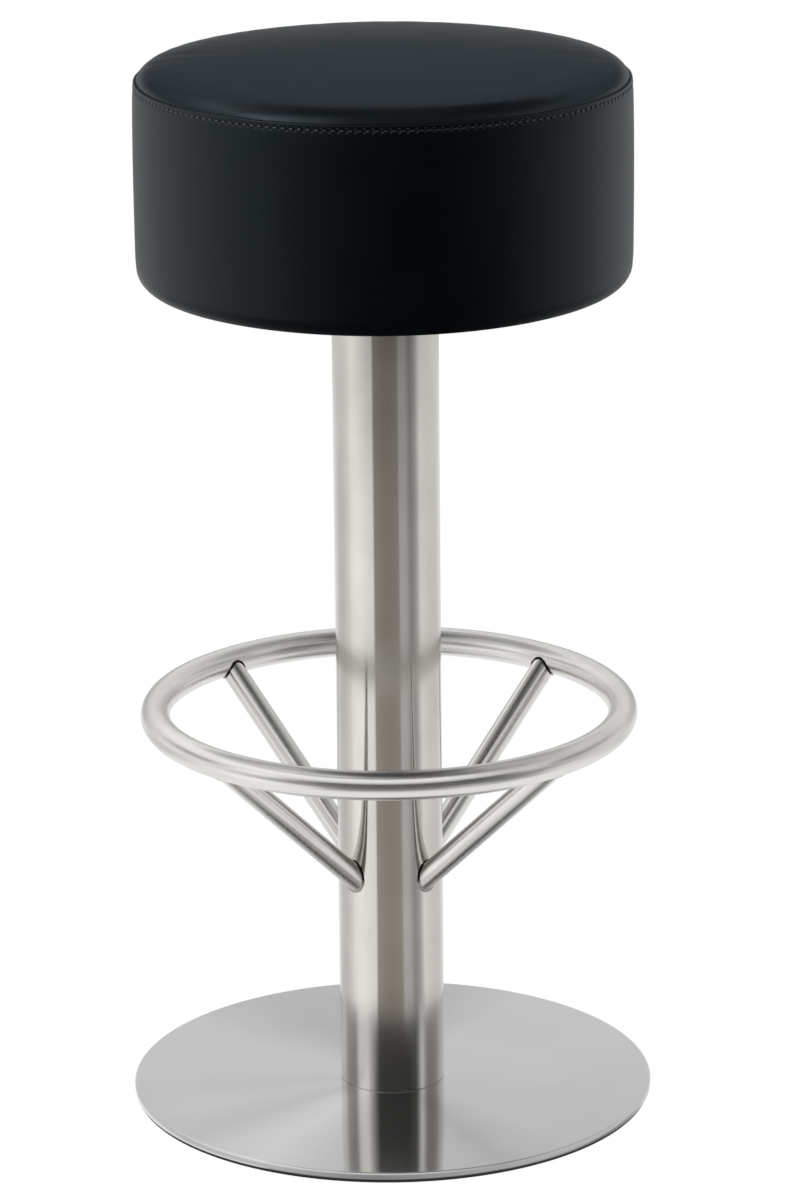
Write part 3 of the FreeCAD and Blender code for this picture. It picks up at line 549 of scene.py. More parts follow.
def dressed(node, name, material, body, bevel=0.0):
    """A piece that stands for a node: its merged copy, smooth on curves, with its edges broken."""
    mesh = bmesh.new()
    mesh.from_mesh(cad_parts[node].data)
    bmesh.ops.remove_doubles(mesh, verts=mesh.verts, dist=MERGED)
    made = piece(name, mesh, material, body, [node], crease=25)
    if bevel:
        modify(made, "broken_edge", "BEVEL", width=bevel, segments=2, limit_method="ANGLE",
               angle_limit=math.radians(40))


def finish_nodes(material, *nodes):
    """Gives nodes that stay their material."""
    for node in nodes:
        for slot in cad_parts[node].material_slots:
            slot.material = material


def tube_layout(mesh, axis_of):
    """Lays out u round the tube and v along it, in metres, from each corner's place."""
    layer = mesh.loops.layers.uv.new("tube")
    for face in mesh.faces:
        places = [axis_of(loop.vert.co) for loop in face.loops]
        turn_reference, run_reference = places[0]
        for loop, (turn, run) in zip(face.loops, places):
            turn += round(turn_reference - turn)
            run += round((run_reference - run) / RING_LENGTH) * RING_LENGTH
            loop[layer].uv = (turn, run)


class STOOL_OT_base_plate(Operator):
    """Makes the floor plate's brushed cover, its rubber ring and what the cover hides"""
    bl_idname = "stool.base_plate"
    bl_label = "Floor Plate"

    def execute(self, context):
        sizes, colours = chosen(context)
        edge, wall = sizes.plate_edge, sizes.plate_wall
        rim = (PLATE_RADIUS - edge, PLATE_TOP - edge)
        midway = PLATE_RADIUS * 0.6
        section = [(0, PLATE_TOP), (COLUMN_RADIUS, PLATE_TOP), (midway, PLATE_TOP)]
        section += corner(rim, edge, 90, 0, 10)
        section += [(PLATE_RADIUS, PLATE_RIM_FOOT), (PLATE_RADIUS - wall, PLATE_RIM_FOOT)]
        section += corner(rim, edge - wall, 0, 90, 6)
        section += [(0, PLATE_TOP - wall)]
        piece("base_plate_cover", spun(section, closed=False), plate_steel(colours.plate), "stand",
              ["base_cover"])

        inside, lip = RUBBER_RADIUS - sizes.rubber_width, 0.0004
        groove_depth, groove_half = 0.0005, 0.0008
        section = [(inside, lip), (inside + lip, 0)]
        for share in (0.3, 0.5, 0.7):
            middle = inside + sizes.rubber_width * share
            section += [(middle - groove_half, 0), (middle - groove_half / 2, groove_depth),
                        (middle + groove_half / 2, groove_depth), (middle + groove_half, 0)]
        section += [(RUBBER_RADIUS - lip, 0), (RUBBER_RADIUS, lip), (RUBBER_RADIUS, RUBBER_TOP),
                    (inside, RUBBER_TOP)]
        piece("floor_ring_grooved", spun(section), ring_rubber(colours.rubber), "stand",
              ["floor_ring"])
        finish_nodes(painted_iron(colours.iron), "base_weight")
        dressed("base_screws", "base_screws_plated", zinc_finish(colours), "stand")
        finish_nodes(turned_metal("foot_plate_steel", colours.machined, (0.3, 0.45)), "column_foot_plate")
        return {"FINISHED"}


class STOOL_OT_column(Operator):
    """Makes the column's brushed tube"""
    bl_idname = "stool.column"
    bl_label = "Column"

    def execute(self, context):
        sizes, colours = chosen(context)
        bevel = sizes.column_bevel
        inside = COLUMN_RADIUS - sizes.column_wall
        section = [(inside, COLUMN_FOOT), (COLUMN_RADIUS - bevel, COLUMN_FOOT),
                   (COLUMN_RADIUS, COLUMN_FOOT + bevel), (COLUMN_RADIUS, COLUMN_TOP - bevel),
                   (COLUMN_RADIUS - bevel, COLUMN_TOP), (inside, COLUMN_TOP)]
        piece("column_brushed", spun(section), column_steel(colours.steel), "stand",
              ["column_tube"])
        return {"FINISHED"}


class STOOL_OT_footrest(Operator):
    """Makes the footrest's ring, its four coped struts and their welds"""
    bl_idname = "stool.footrest"
    bl_label = "Footrest"

    def execute(self, context):
        sizes, colours = chosen(context)
        steel, weld = tube_steel(colours.tube), weld_steel(colours.weld)
        section = corner((RING_RADIUS, RING_LEVEL), RING_TUBE_RADIUS, 0, 360, 40)[:-1]
        mesh = spun(section)
        tube_layout(mesh, ring_place)
        piece("footrest_ring_satin", mesh, steel, "stand", ["footrest_ring"])
        for quarter, azimuth in STRUT_AZIMUTHS.items():
            strut = Strut(sizes, azimuth)
            piece(f"strut_{quarter}", strut.mesh(), steel, "stand",
                  [f"footrest_strut_{quarter}"])
            for end, run_at in (("column", strut.foot_run), ("ring", strut.head_run)):
                bead = weld_bead(strut, run_at, sizes.weld_radius, azimuth)
                piece(f"weld_{end}_{quarter}", bead, weld, "stand")
        return {"FINISHED"}


def ring_place(point):
    """Turns round the tube and metres along the ring at a point of its surface."""
    out = math.hypot(point.x, point.y) - RING_RADIUS
    return math.atan2(point.z - RING_LEVEL, out) / math.tau, math.atan2(point.y, point.x) * RING_RADIUS


class Strut:
    """Centre line and ends of one footrest strut, at its azimuth in degrees."""

    def __init__(self, sizes, azimuth):
        self.radius = sizes.strut_radius
        self.turn = Matrix.Rotation(math.radians(azimuth), 4, "Z")
        self.foot = Vector((COLUMN_RADIUS, 0, sizes.strut_foot_level))
        head = Vector((RING_RADIUS, 0, RING_LEVEL))
        self.length = (head - self.foot).length
        self.along = (head - self.foot).normalized()
        self.side = Vector((0, 1, 0))
        self.over = self.along.cross(self.side)

    def point(self, angle, run):
        """Point of the tube's surface, before it is turned to its azimuth."""
        rim = self.over * math.cos(angle) + self.side * math.sin(angle)
        return self.foot + self.along * run + rim * self.radius

    def foot_run(self, angle):
        """Run along the strut at which its surface meets the column."""
        start = self.point(angle, 0)
        return (math.sqrt(COLUMN_RADIUS ** 2 - start.y ** 2) - start.x) / self.along.x

    def head_run(self, angle):
        """Run along the strut at which its surface meets the ring, found by halving."""
        low, high = self.length - 3 * RING_TUBE_RADIUS, self.length
        for _ in range(40):
            middle = (low + high) / 2
            place = self.point(angle, middle)
            away = math.hypot(math.hypot(place.x, place.y) - RING_RADIUS, place.z - RING_LEVEL)
            low, high = (middle, high) if away > RING_TUBE_RADIUS else (low, middle)
        return (low + high) / 2

    def mesh(self, steps=48, sunk=0.0004):
        """The tube, its ends moved along it to the column and the ring, and a little way in."""
        mesh = bmesh.new()
        made = bmesh.ops.create_circle(mesh, segments=steps, radius=self.radius)
        ends = [(vert, 0) for vert in made["verts"]]
        extruded = bmesh.ops.extrude_edge_only(mesh, edges=mesh.edges[:])["geom"]
        ends += [(item, 1) for item in extruded if isinstance(item, bmesh.types.BMVert)]
        for vert, is_head in ends:
            angle = math.atan2(vert.co.y, vert.co.x)
            run = self.head_run(angle) + sunk if is_head else self.foot_run(angle) - sunk
            vert.co = self.point(angle, run)
        bmesh.ops.holes_fill(mesh, edges=mesh.edges[:], sides=0)
        bmesh.ops.recalc_face_normals(mesh, faces=mesh.faces)
        tube_layout(mesh, self.place)
        bmesh.ops.transform(mesh, matrix=self.turn, verts=mesh.verts)
        return mesh

    def place(self, point):
        """Turns round the tube and metres along it at a point of its surface."""
        away = point - self.foot
        return math.atan2(away.dot(self.side), away.dot(self.over)) / math.tau, away.dot(self.along)


def weld_bead(strut, run_at, radius, seed, steps=72, fineness=4, mean=0.85, spread=0.35):
    """A closed bead of uneven thickness along the joint of a strut with what it meets."""
    curve = bpy.data.curves.new("weld_guide", "CURVE")
    curve.dimensions = "3D"
    curve.bevel_depth = radius
    curve.bevel_resolution = 3
    spline = curve.splines.new("POLY")
    spline.points.add(steps - 1)
    spline.use_cyclic_u = True
    for index, knot in enumerate(spline.points):
        angle = math.tau * index / steps
        place = strut.turn @ strut.point(angle, run_at(angle))
        round_place = Vector((math.cos(angle) * fineness, math.sin(angle) * fineness, seed))
        knot.co = (*place, 1)
        knot.radius = mean + spread * noise.noise(round_place)
    guide = bpy.data.objects.new("weld_guide", curve)
    data = bpy.data.meshes.new_from_object(guide)
    mesh = bmesh.new()
    mesh.from_mesh(data)
    bpy.data.objects.remove(guide)
    bpy.data.curves.remove(curve)
    bpy.data.meshes.remove(data)
    bmesh.ops.remove_doubles(mesh, verts=mesh.verts, dist=MERGED / 10)
    bmesh.ops.recalc_face_normals(mesh, faces=mesh.faces)
    # Painted shade: a share from 0 on the strut's underside to 1 on its upper side, which darkens the weld's
    # colour there.
    painted_crevice_shade = mesh.verts.layers.float.new("painted_crevice_shade")
    for vert in mesh.verts:
        away = strut.turn.inverted() @ vert.co - strut.foot
        vert[painted_crevice_shade] = 0.5 + 0.5 * away.dot(strut.over) / strut.radius
    return mesh


class STOOL_OT_swivel(Operator):
    """Finishes the bearing housing, bushes, thrust bearing, spindle and its retainers"""
    bl_idname = "stool.swivel"
    bl_label = "Swivel"

    def execute(self, context):
        colours = chosen(context)[1]
        machined = turned_metal("turned_steel", colours.machined, (0.25, 0.4))
        ground = turned_metal("ground_bearing_steel", colours.bearing, (0.1, 0.2))
        bronze = speckled_metal("sintered_bronze", colours.bronze, 1800, (0.35, 0.55), 0.00004)
        dressed("bearing_housing", "bearing_housing_turned", machined, "stand", 0.0004)
        finish_nodes(machined, "spindle")
        finish_nodes(bronze, "upper_bush", "lower_bush")
        finish_nodes(ground, "thrust_washer_lower", "thrust_washer_upper", "bearing_balls")
        finish_nodes(turned_metal("cage_brass", colours.brass, (0.2, 0.3)), "bearing_cage")
        finish_nodes(zinc_finish(colours), "retaining_washer", "retaining_clip")
        return {"FINISHED"}


class STOOL_OT_seat_frame(Operator):
    """Finishes the seat plate, its fasteners and the wooden drum"""
    bl_idname = "stool.seat_frame"
    bl_label = "Seat Frame"

    def execute(self, context):
        colours = chosen(context)[1]
        zinc = zinc_finish(colours)
        coat = powder_coat(colours.powder)
        dressed("seat_plate", "seat_plate_coated", coat, "seat", 0.0006)
        dressed("seat_washers", "seat_washers_plated", zinc, "seat", 0.0002)
        dressed("seat_bolts", "seat_bolts_plated", zinc, "seat", 0.0004)
        finish_nodes(zinc, "tee_nuts")
        finish_nodes(plywood("birch_plywood", colours.birch, 0.0015), "seat_board", "seat_deck")
        finish_nodes(plywood("bent_birch_plywood", colours.birch, 0.001, by_radius=True), "seat_hoop")
        return {"FINISHED"}


def side_round(run, draw_in):
    """Radius of an arc that starts upright and draws in over a run."""
    return (run ** 2 + draw_in ** 2) / (2 * draw_in)


def seam_level(sizes):
    """Level of the seam at the seat's front."""
    return SEAM_LEVEL + sizes.seam_lift


def side_radius(sizes, height):
    """Radius of the seat's side at a height above its underside."""
    if height > sizes.waist_level:
        run = seam_level(sizes) - sizes.side_roll - SEAT_UNDER - sizes.waist_level
        bow = side_round(run, sizes.side_draw_in)
    else:
        bow = side_round(sizes.waist_level - sizes.lower_edge, sizes.lower_draw_in)
    return SEAT_RADIUS - bow + math.sqrt(bow ** 2 - (height - sizes.waist_level) ** 2)


def side_points(sizes, low, high, rows, inset=0, first=1):
    """Points along the seat's side or inside it, between two heights above its underside."""
    heights = [low + (high - low) * row / rows for row in range(first, rows + 1)]
    return [(side_radius(sizes, height) - inset, SEAT_UNDER + height) for height in heights]


def hem_radius(sizes):
    """Radius of the leather's cut edge under the board."""
    return SEAT_RADIUS - sizes.lower_draw_in - sizes.lower_edge - sizes.turn_under


def top_section(sizes, edge):
    """Crown, bend and shoulder of the seat's top, from the middle out to an edge at the seam."""
    points, first = [edge], sizes.seam_slope
    for end, last, steps in ((sizes.shoulder_edge, sizes.shoulder_slope, 14),
                             (sizes.crown_edge, sizes.crown_slope, 8), (0, 0, 24)):
        radius, height = points[-1]
        bow = (radius - end) / (math.sin(first) - math.sin(last))
        for step in range(1, steps + 1):
            angle = first + (last - first) * step / steps
            points.append((radius - bow * (math.sin(first) - math.sin(angle)),
                           height + bow * (math.cos(angle) - math.cos(first))))
        first = last
    return points[::-1]


def stuffed_share(sizes, height):
    """Share of the padding's lean at a level: none on the deck, all of it from the seam up."""
    return min(max((height - DECK_TOP) / (seam_level(sizes) - DECK_TOP), 0), 1)


def leaned(mesh, sizes):
    """Lets the padding sit a little lower toward the back."""
    for vert in mesh.verts:
        drop = sizes.lean * (1 + vert.co.y / SEAT_RADIUS) / 2
        vert.co.z -= drop * stuffed_share(sizes, vert.co.z)
    return mesh


def ordered_faces(mesh):
    """Corners of the faces in one fixed order, because a spin's own order differs from run to run."""
    faces = []
    for face in mesh.faces:
        corners = [vert.index for vert in face.verts]
        first = corners.index(min(corners))
        faces.append(corners[first:] + corners[:first])
    return sorted(faces)


def stuff(mesh, is_sewn, most, pressure=4, frames=20):
    """Blows a cover out between its sewn edges with Blender's Cloth, the farthest point by a given way."""
    mesh.verts.index_update()
    data = bpy.data.meshes.new("stuffed")
    data.from_pydata([vert.co for vert in mesh.verts], [], ordered_faces(mesh))
    guide = linked("stuffed", data)
    scene = bpy.context.scene
    sewn = guide.vertex_groups.new(name="sewn")
    sewn.add([vert.index for vert in mesh.verts if is_sewn(vert.co)], 1.0, "ADD")
    settings = guide.modifiers.new("stuffing", "CLOTH").settings
    settings.vertex_group_mass = sewn.name
    settings.use_pressure = True
    settings.uniform_pressure_force = pressure
    settings.effector_weights.gravity = 0
    for step in range(1, frames + 1):
        scene.frame_set(step)
    blown = guide.evaluated_get(bpy.context.evaluated_depsgraph_get()).data
    ways = [moved.co - vert.co for vert, moved in zip(mesh.verts, blown.vertices)]
    share = most / max(way.length for way in ways)
    for vert, way in zip(mesh.verts, ways):
        vert.co += way * share
    scene.frame_set(1)
    bpy.data.objects.remove(guide)
    bpy.data.meshes.remove(data)


class STOOL_OT_leather(Operator):
    """Makes the leather's round top panel and its side band, turned under the board in pleats"""
    bl_idname = "stool.leather"
    bl_label = "Leather"

    def execute(self, context):
        sizes, colours = chosen(context)
        plain = leather_finish("black_upholstery_leather", colours.leather)
        sewn = leather_finish("black_sewn_leather", colours.leather, sizes)
        top = piece("seat_top_panel", self.top_panel(sizes), plain, "seat",
                    ["seat_cover_top"], crease=60)
        band = piece("seat_side_band", self.side_band(sizes), sewn, "seat",
                     ["seat_cover_band"], crease=60)
        for cover in (top, band):
            modify(cover, "leather", "SOLIDIFY", thickness=sizes.leather, offset=-1)
        return {"FINISHED"}

    def top_panel(self, sizes):
        """Crown, shoulder and the edge rolled into the seam."""
        roll, lip_drop = sizes.seam_roll, 0.0009
        lip = (sizes.panel_edge - roll, seam_level(sizes) + roll - lip_drop)
        start = corner(lip, roll, 90 - math.degrees(sizes.seam_slope), -100, 8)
        section = top_section(sizes, start[0]) + start[1:]
        section.append((start[-1][0] - 2 * roll, start[-1][1]))
        mesh = spun(section, closed=False)
        sewn = sizes.panel_edge - 2 * roll
        stuff(mesh, lambda place: math.hypot(place.x, place.y) > sewn, most=0.0012)
        return leaned(mesh, sizes)

    def side_band(self, sizes):
        """Hem, rounded lower edge, side, row of stitches and the edge rolled into the seam."""
        roll, edge = sizes.side_roll, sizes.lower_edge
        corner_radius = SEAT_RADIUS - sizes.lower_draw_in - edge
        hem = hem_radius(sizes)
        stitch_level = seam_level(sizes) - sizes.stitch_drop - SEAT_UNDER
        groove_half, groove_depth = 0.0014, 0.0003
        section = [(hem + sizes.turn_under * share, SEAT_UNDER) for share in (0, 0.15, 0.3, 0.45, 0.6, 0.8)]
        section += corner((corner_radius, SEAT_UNDER + edge), edge, -90, 0, 12)
        groove_start = stitch_level - groove_half
        section += side_points(sizes, edge, groove_start, 20)
        for offset, depth in ((-0.5, 0.5), (0, 1), (0.5, 0.5), (1, 0)):
            height = stitch_level + offset * groove_half
            section.append((side_radius(sizes, height) - depth * groove_depth, SEAT_UNDER + height))
        lip = (SEAT_RADIUS - sizes.side_draw_in - roll, seam_level(sizes) - roll)
        section += corner(lip, roll, 4, 140, 10)
        section.append((lip[0] - 2.5 * roll, lip[1] + roll * 0.2))
        mesh = spun(section, closed=False)
        lowest, highest = SEAT_UNDER + edge, SEAT_UNDER + groove_start
        stuff(mesh, lambda place: not lowest < place.z < highest, most=0.0004)
        pleat_hem(mesh, sizes, corner_radius)
        return leaned(mesh, sizes)


def pleat_hem(mesh, sizes, corner_radius):
    """Presses uneven pleats into the leather under the board, deepest at its cut edge."""
    depth, fineness, wandering = 0.0011, 3, 5
    hem, end = hem_radius(sizes), corner_radius + 0.004
    for vert in mesh.verts:
        radius = math.hypot(vert.co.x, vert.co.y)
        if vert.co.z > SEAT_UNDER + sizes.lower_edge / 3 or radius > corner_radius + sizes.lower_edge:
            continue
        azimuth = math.atan2(vert.co.y, vert.co.x)
        place = Vector((math.cos(azimuth) * fineness, math.sin(azimuth) * fineness, 0.5))
        wave = max(math.cos(azimuth * sizes.pleat_count + noise.noise(place) * wandering), 0)
        fade = min(max((end - radius) / (end - hem), 0), 1)
        vert.co.z -= depth * fade * wave ** 2


def stitch_count(sizes):
    """Stitches round the seat."""
    return round(math.tau * side_radius(sizes, seam_level(sizes) - sizes.stitch_drop - SEAT_UNDER)
                 / sizes.stitch_pitch)


class STOOL_OT_stitches(Operator):
    """Makes the row of stitches under the seam"""
    bl_idname = "stool.stitches"
    bl_label = "Stitches"

    def execute(self, context):
        sizes, colours = chosen(context)
        sunk = sizes.thread * 0.35
        height = seam_level(sizes) - sizes.stitch_drop
        radius = side_radius(sizes, height - SEAT_UNDER) - sunk
        count = stitch_count(sizes)
        slant = Matrix.Rotation(math.radians(7), 4, "X")
        shape = Matrix.Diagonal((sizes.thread, sizes.stitch_length / 2, sizes.thread, 1))
        mesh = bmesh.new()
        made = bmesh.ops.create_uvsphere(mesh, u_segments=6, v_segments=6, radius=1,
                                         matrix=Matrix.Rotation(math.radians(90), 4, "X"))
        bmesh.ops.transform(mesh, matrix=Matrix.Translation((radius, 0, height)) @ slant @ shape,
                            verts=made["verts"])
        bmesh.ops.spin(mesh, geom=mesh.verts[:] + mesh.edges[:] + mesh.faces[:], cent=(0, 0, 0),
                       axis=(0, 0, 1), angle=math.tau * (count - 1) / count, steps=count - 1,
                       use_merge=False, use_duplicate=True)
        leaned(mesh, sizes)
        piece("top_stitching", mesh, thread_finish(colours.thread), "seat", crease=80)
        return {"FINISHED"}


class STOOL_OT_padding(Operator):
    """Makes the foam on the deck and the wadding round the drum"""
    bl_idname = "stool.padding"
    bl_label = "Padding"

    def execute(self, context):
        sizes, colours = chosen(context)
        gap, clear = sizes.padding_gap, 0.0003
        low, high = sizes.lower_edge, DECK_TOP - SEAT_UNDER
        deck = high + clear
        under_seam = SEAM_LEVEL - SEAT_UNDER - 0.001
        shape = top_section(sizes, (sizes.panel_edge, seam_level(sizes)))
        section = [(max(radius - gap, 0), height - gap) for radius, height in shape]
        section += side_points(sizes, under_seam, deck, 6, 1.4 * gap)
        section.append((0, SEAT_UNDER + deck))
        mesh = leaned(spun(section, closed=False), sizes)
        foam = piece("seat_foam_pad", mesh, foam_finish(colours.foam), "seat", ["seat_foam"])

        inside = BOARD_RADIUS + clear
        section = [(inside, SEAT_UNDER + high), (inside, SEAT_UNDER + low)]
        section += side_points(sizes, low, high, 16, gap, first=0)
        wadding = piece("side_wadding_wrap", spun(section), wadding_finish(colours.wadding), "seat",
                        ["side_wadding"])
        return {"FINISHED"}


class STOOL_OT_dust_cloth(Operator):
    """Makes the cloth under the seat and the staples round it"""
    bl_idname = "stool.dust_cloth"
    bl_label = "Dust Cloth"

    def execute(self, context):
        sizes, colours = chosen(context)
        hem, thickness, rings = hem_radius(sizes), 0.0005, 30
        flat_end, turned_edge = hem - 0.005, CLOTH_RADIUS - 0.008
        edge_level = CLOTH_UNDER - 0.0003
        section = [(flat_end * ring / rings, BOARD_UNDER - thickness) for ring in range(rings + 1)]
        section += [(hem - 0.0002, CLOTH_UNDER), (turned_edge, CLOTH_UNDER),
                    (turned_edge + thickness, edge_level), (CLOTH_RADIUS, edge_level)]
        mesh = spun(section, steps=144, closed=False)
        for vert in mesh.verts:
            vert.co.z -= cloth_sag(vert.co, flat_end)
        cloth = piece("dust_cloth_sheet", mesh, cloth_finish(colours.cloth), "seat",
                      ["dust_cover"], crease=70)
        modify(cloth, "cloth", "SOLIDIFY", thickness=thickness, offset=0)

        dice = random.Random(7)
        turn_spread, radius_spread, tilt_spread = 0.02, 0.0012, 0.3
        wire = sizes.staple_wire
        shape = Matrix.Diagonal((wire, sizes.staple, wire * 0.7, 1))
        staple_radius, staple_level = CLOTH_RADIUS - 0.004, CLOTH_UNDER - 0.0007
        mesh = bmesh.new()
        for index in range(sizes.staple_count):
            turn = math.tau * index / sizes.staple_count + dice.uniform(-turn_spread, turn_spread)
            place = Vector((staple_radius + dice.uniform(-radius_spread, radius_spread), 0, staple_level))
            tilt = Matrix.Rotation(dice.uniform(-tilt_spread, tilt_spread), 4, "Z")
            aim = Matrix.Rotation(turn, 4, "Z") @ Matrix.Translation(place) @ tilt
            bmesh.ops.create_cube(mesh, size=1, matrix=aim @ shape)
        staples = piece("cloth_staples", mesh, zinc_finish(colours), "seat")
        modify(staples, "round_wire", "BEVEL", width=wire * 0.25, segments=2)
        return {"FINISHED"}


def cloth_sag(place, flat_end):
    """How far the cloth hangs off the board, between the seat plate and its stapled edge."""
    clear, run, sag, ripple, fineness = 0.004, 0.02, 0.0009, 0.0007, 30
    radius = math.hypot(place.x, place.y)
    beyond_plate = max(abs(place.x), abs(place.y)) - PLATE_HALF_SIDE - clear
    if beyond_plate < 0 or radius > flat_end:
        return 0
    share = min(beyond_plate / run, 1) * min((flat_end - radius) / run, 1)
    return share * (sag + ripple * noise.noise(Vector((place.x * fineness, place.y * fineness, 2.0))))


CAMERA_PLACE = Vector((-0.00948, -4.05874, 1.6338))
CAMERA_YAW, CAMERA_PITCH, CAMERA_ROLL = -0.00459, 0.29682, -0.00949
CAMERA_LENS, SENSOR_WIDTH = 168.17, 36.0
FLOOR_HALF_SIDE = 60
WALL_RADIUS, WALL_CENTRE = 6.0, 0.4
CANOPY_RADIUS, CANOPY_CENTRE = 1.25, 0.8

# Brightness of the cards that only gloss meets, by degrees from the front, right positive.
# The floor close to the stool, for the column and the undersides of the ring and struts
NEAR_FLOOR = [(-180, 0.85), (-150, 0.82), (-128, 0.62), (-110, 0.62), (-93, 0.76), (-84, 0.93), (-72, 1.0),
              (-60, 1.0), (-45, 0.92), (-34, 0.88), (-30.5, 0.8), (-28.5, (0.305, 0.28, 0.26)),
              (-14, (0.265, 0.24, 0.22)), (3, (0.245, 0.22, 0.2)), (18, (0.265, 0.24, 0.22)),
              (23.5, (0.28, 0.26, 0.24)), (27, 0.46), (40, 0.44), (45, 0.36), (52, 0.26), (62, 0.36),
              (66, 0.45), (76, 0.8), (102, 0.7), (126, 0.68), (150, 0.82), (180, 0.85)]
# The floor far off and the wall's foot, for the lower end of the column
FAR_FLOOR = [(-180, 0.3), (-150, 0.42), (-125, 0.8), (-80, 0.78), (-60, 0.4), (-40, 0.13), (-25, 0.05),
             (-12, 0.015), (30, 0.01), (48, 0.03), (62, 0.13), (80, 0.4), (125, 0.7), (150, 0.42), (180, 0.3)]
# The wall, for the plate and the column's image in it
WALL = [(-180, 0.76), (-132, 0.76), (-117, 0.4), (-95, 0.3), (-88, 0.36), (-80, 0.85), (-70, 1), (-58, 1),
        (-48, 0.56), (-36, 0.15), (-30, 0.03), (-27, 0.015), (39, 0.015), (46, 0.06), (53, 0.05), (60, 0.25),
        (67, 0.8), (72, 0.8), (80, 0.4), (88, 0.27), (105, 0.28), (118, 0.38), (132, 0.62), (155, 0.76),
        (180, 0.76)]
# The canopy's upper part, for the seat's shoulder and the tops of the tubes
CANOPY = [(-180, 0.015), (-160, 0.015), (-147, 1), (30, 1), (62, 0.45), (105, 0.4), (149, 0.6),
          (158, 0.015), (180, 0.015)]
# The canopy's lower band, for the seat's crown, and the same band for the ring, which meets it aslant
CROWN_BAND = [(-180, (0.116, 0.14, 0.16)), (-145, (0.116, 0.14, 0.16)), (-110, (0.25, 0.3, 0.33)),
              (-70, 0.6), (-30, 0.15), (30, 0.15), (70, 0.6), (110, (0.25, 0.3, 0.33)),
              (145, (0.116, 0.14, 0.16)), (180, (0.116, 0.14, 0.16))]
RING_BAND = [(-180, 0.7), (-150, 0.95), (-90, 0.9), (90, 0.6), (150, 0.62), (180, 0.7)]
# Rings under the seat, for the column's top; round the seat, for its side; round the plate, for its edge
UNDERSEAT = [(-180, 0.1), (-106, 0.6), (-60, 0.4), (-46, 0.3), (-30, 0.12), (-19, 0.06), (-5, 0.015),
             (15, 0.01), (28, 0.04), (52, 0.2), (80, 0.4), (106, 0.5), (180, 0.1)]
SEAT_SIDE = [(-180, 0.35), (-125, 0.36), (-113, 0.4), (-100, 0.5), (-84, 0.6), (-66, 0.58), (-45, 0.42),
             (-27, 0.17), (-10, 0.03), (5, 0), (21, 0), (39, 0.06), (64, 0.32), (87, 0.53), (106, 0.44),
             (122, 0.37), (180, 0.35)]
PLATE_EDGE = [(-180, 0.9), (-90, 0.8), (-66, 0.75), (-28, 0.6), (-3, 0.35), (27, 0.7), (68, 0.75), (96, 0.8),
              (180, 0.9)]

# The hood over the seat's front edge: its section, and its brightness by metres right of the middle
HOOD_SECTION = [(-0.28, 0.825), (-0.27, 0.88), (-0.22, 0.93), (-0.12, 0.96), (0, 0.965)]
HOOD_HALF_WIDTH, HOOD_STRENGTH = 0.3, 3
HOOD_TOP = [(-0.3, 0.33), (-0.25, 0.27), (-0.205, 0.17), (-0.156, 0.1), (-0.1, 0.05), (-0.07, 0.043),
            (0.07, 0.043), (0.1, 0.027), (0.145, 0.025), (0.19, 0.033), (0.27, 0.067), (0.3, 0.08)]
HOOD_FRONT = [(-0.3, 1), (-0.266, 0.87), (-0.14, 0.37), (-0.054, 0.09), (0, 0.067), (0.1, 0.053),
              (0.14, 0.067), (0.266, 0.1), (0.3, 0.13)]


class STOOL_OT_stage(Operator):
    """Makes the camera, the pale floor, the soft lamps and the cards that the metal mirrors"""
    bl_idname = "stool.stage"
    bl_label = "Stage"

    def execute(self, context):
        studio = context.scene.stool_studio
        make_camera()
        make_sky(studio)
        make_floor(studio)
        softbox("overhead_softbox", (0.2, 0.3, 2.9), (0, 0, 0.6), 2.4, 2.4, studio.overhead)
        softbox("left_softbox", (-2.7, -1.0, 1.7), (0, 0, 0.5), 1.5, 2.2, studio.side)
        softbox("right_softbox", (2.8, -0.6, 1.6), (0, 0, 0.5), 1.2, 2.2, studio.side * 0.7)
        for make_cards in (floor_cards, wall_cards, canopy_cards, hood_card, ring_cards):
            make_cards()
        context.scene.view_settings.view_transform = "Standard"
        return {"FINISHED"}


def make_camera():
    """The camera, turned, tipped and rolled as the photograph's was."""
    lens = bpy.data.cameras.new("camera")
    lens.lens, lens.sensor_width = CAMERA_LENS, SENSOR_WIDTH
    camera = linked("camera", lens)
    upright = Matrix.Rotation(math.radians(90), 4, "X")
    turn = Matrix.Rotation(CAMERA_YAW, 4, "Z") @ upright @ Matrix.Rotation(-CAMERA_PITCH, 4, "X")
    camera.matrix_world = Matrix.Translation(CAMERA_PLACE) @ turn @ Matrix.Rotation(CAMERA_ROLL, 4, "Z")
    bpy.context.scene.camera = camera


def make_sky(studio):
    """White behind the stool and in what it mirrors, and even soft light for the rest."""
    sky = Finish("studio", "worlds")
    soft, white = [sky.node("Background", {"Color": WHITE, "Strength": strength}).outputs[0]
                   for strength in (studio.sky, 1)]
    mix = sky.node("MixShader", {0: sky.shown(), 1: soft, 2: white})
    sky.node("OutputWorld", {"Surface": mix.outputs[0]})
    bpy.context.scene.world = sky.owner


def make_floor(studio):
    """Pale floor that keeps a faint shadow and is white in the camera and in the metal."""
    floor = Finish("pale_floor")
    paper = floor.varied(floor.grain(40), studio.floor, 0.005)
    diffuse = floor.node("BsdfDiffuse", {"Color": paper})
    white = floor.node("Emission", {"Color": WHITE})
    clear = floor.between(floor.radius(), studio.backdrop, 1, 0.25, 0.9)
    share = floor.maths("MULTIPLY", floor.shown(), clear)
    mix = floor.node("MixShader", {0: share, 1: diffuse.outputs[0], 2: white.outputs[0]})
    floor.node("OutputMaterial", {"Surface": mix.outputs[0]})
    mesh = bmesh.new()
    bmesh.ops.create_grid(mesh, x_segments=1, y_segments=1, size=FLOOR_HALF_SIDE)
    shaped("floor", mesh, floor.owner)


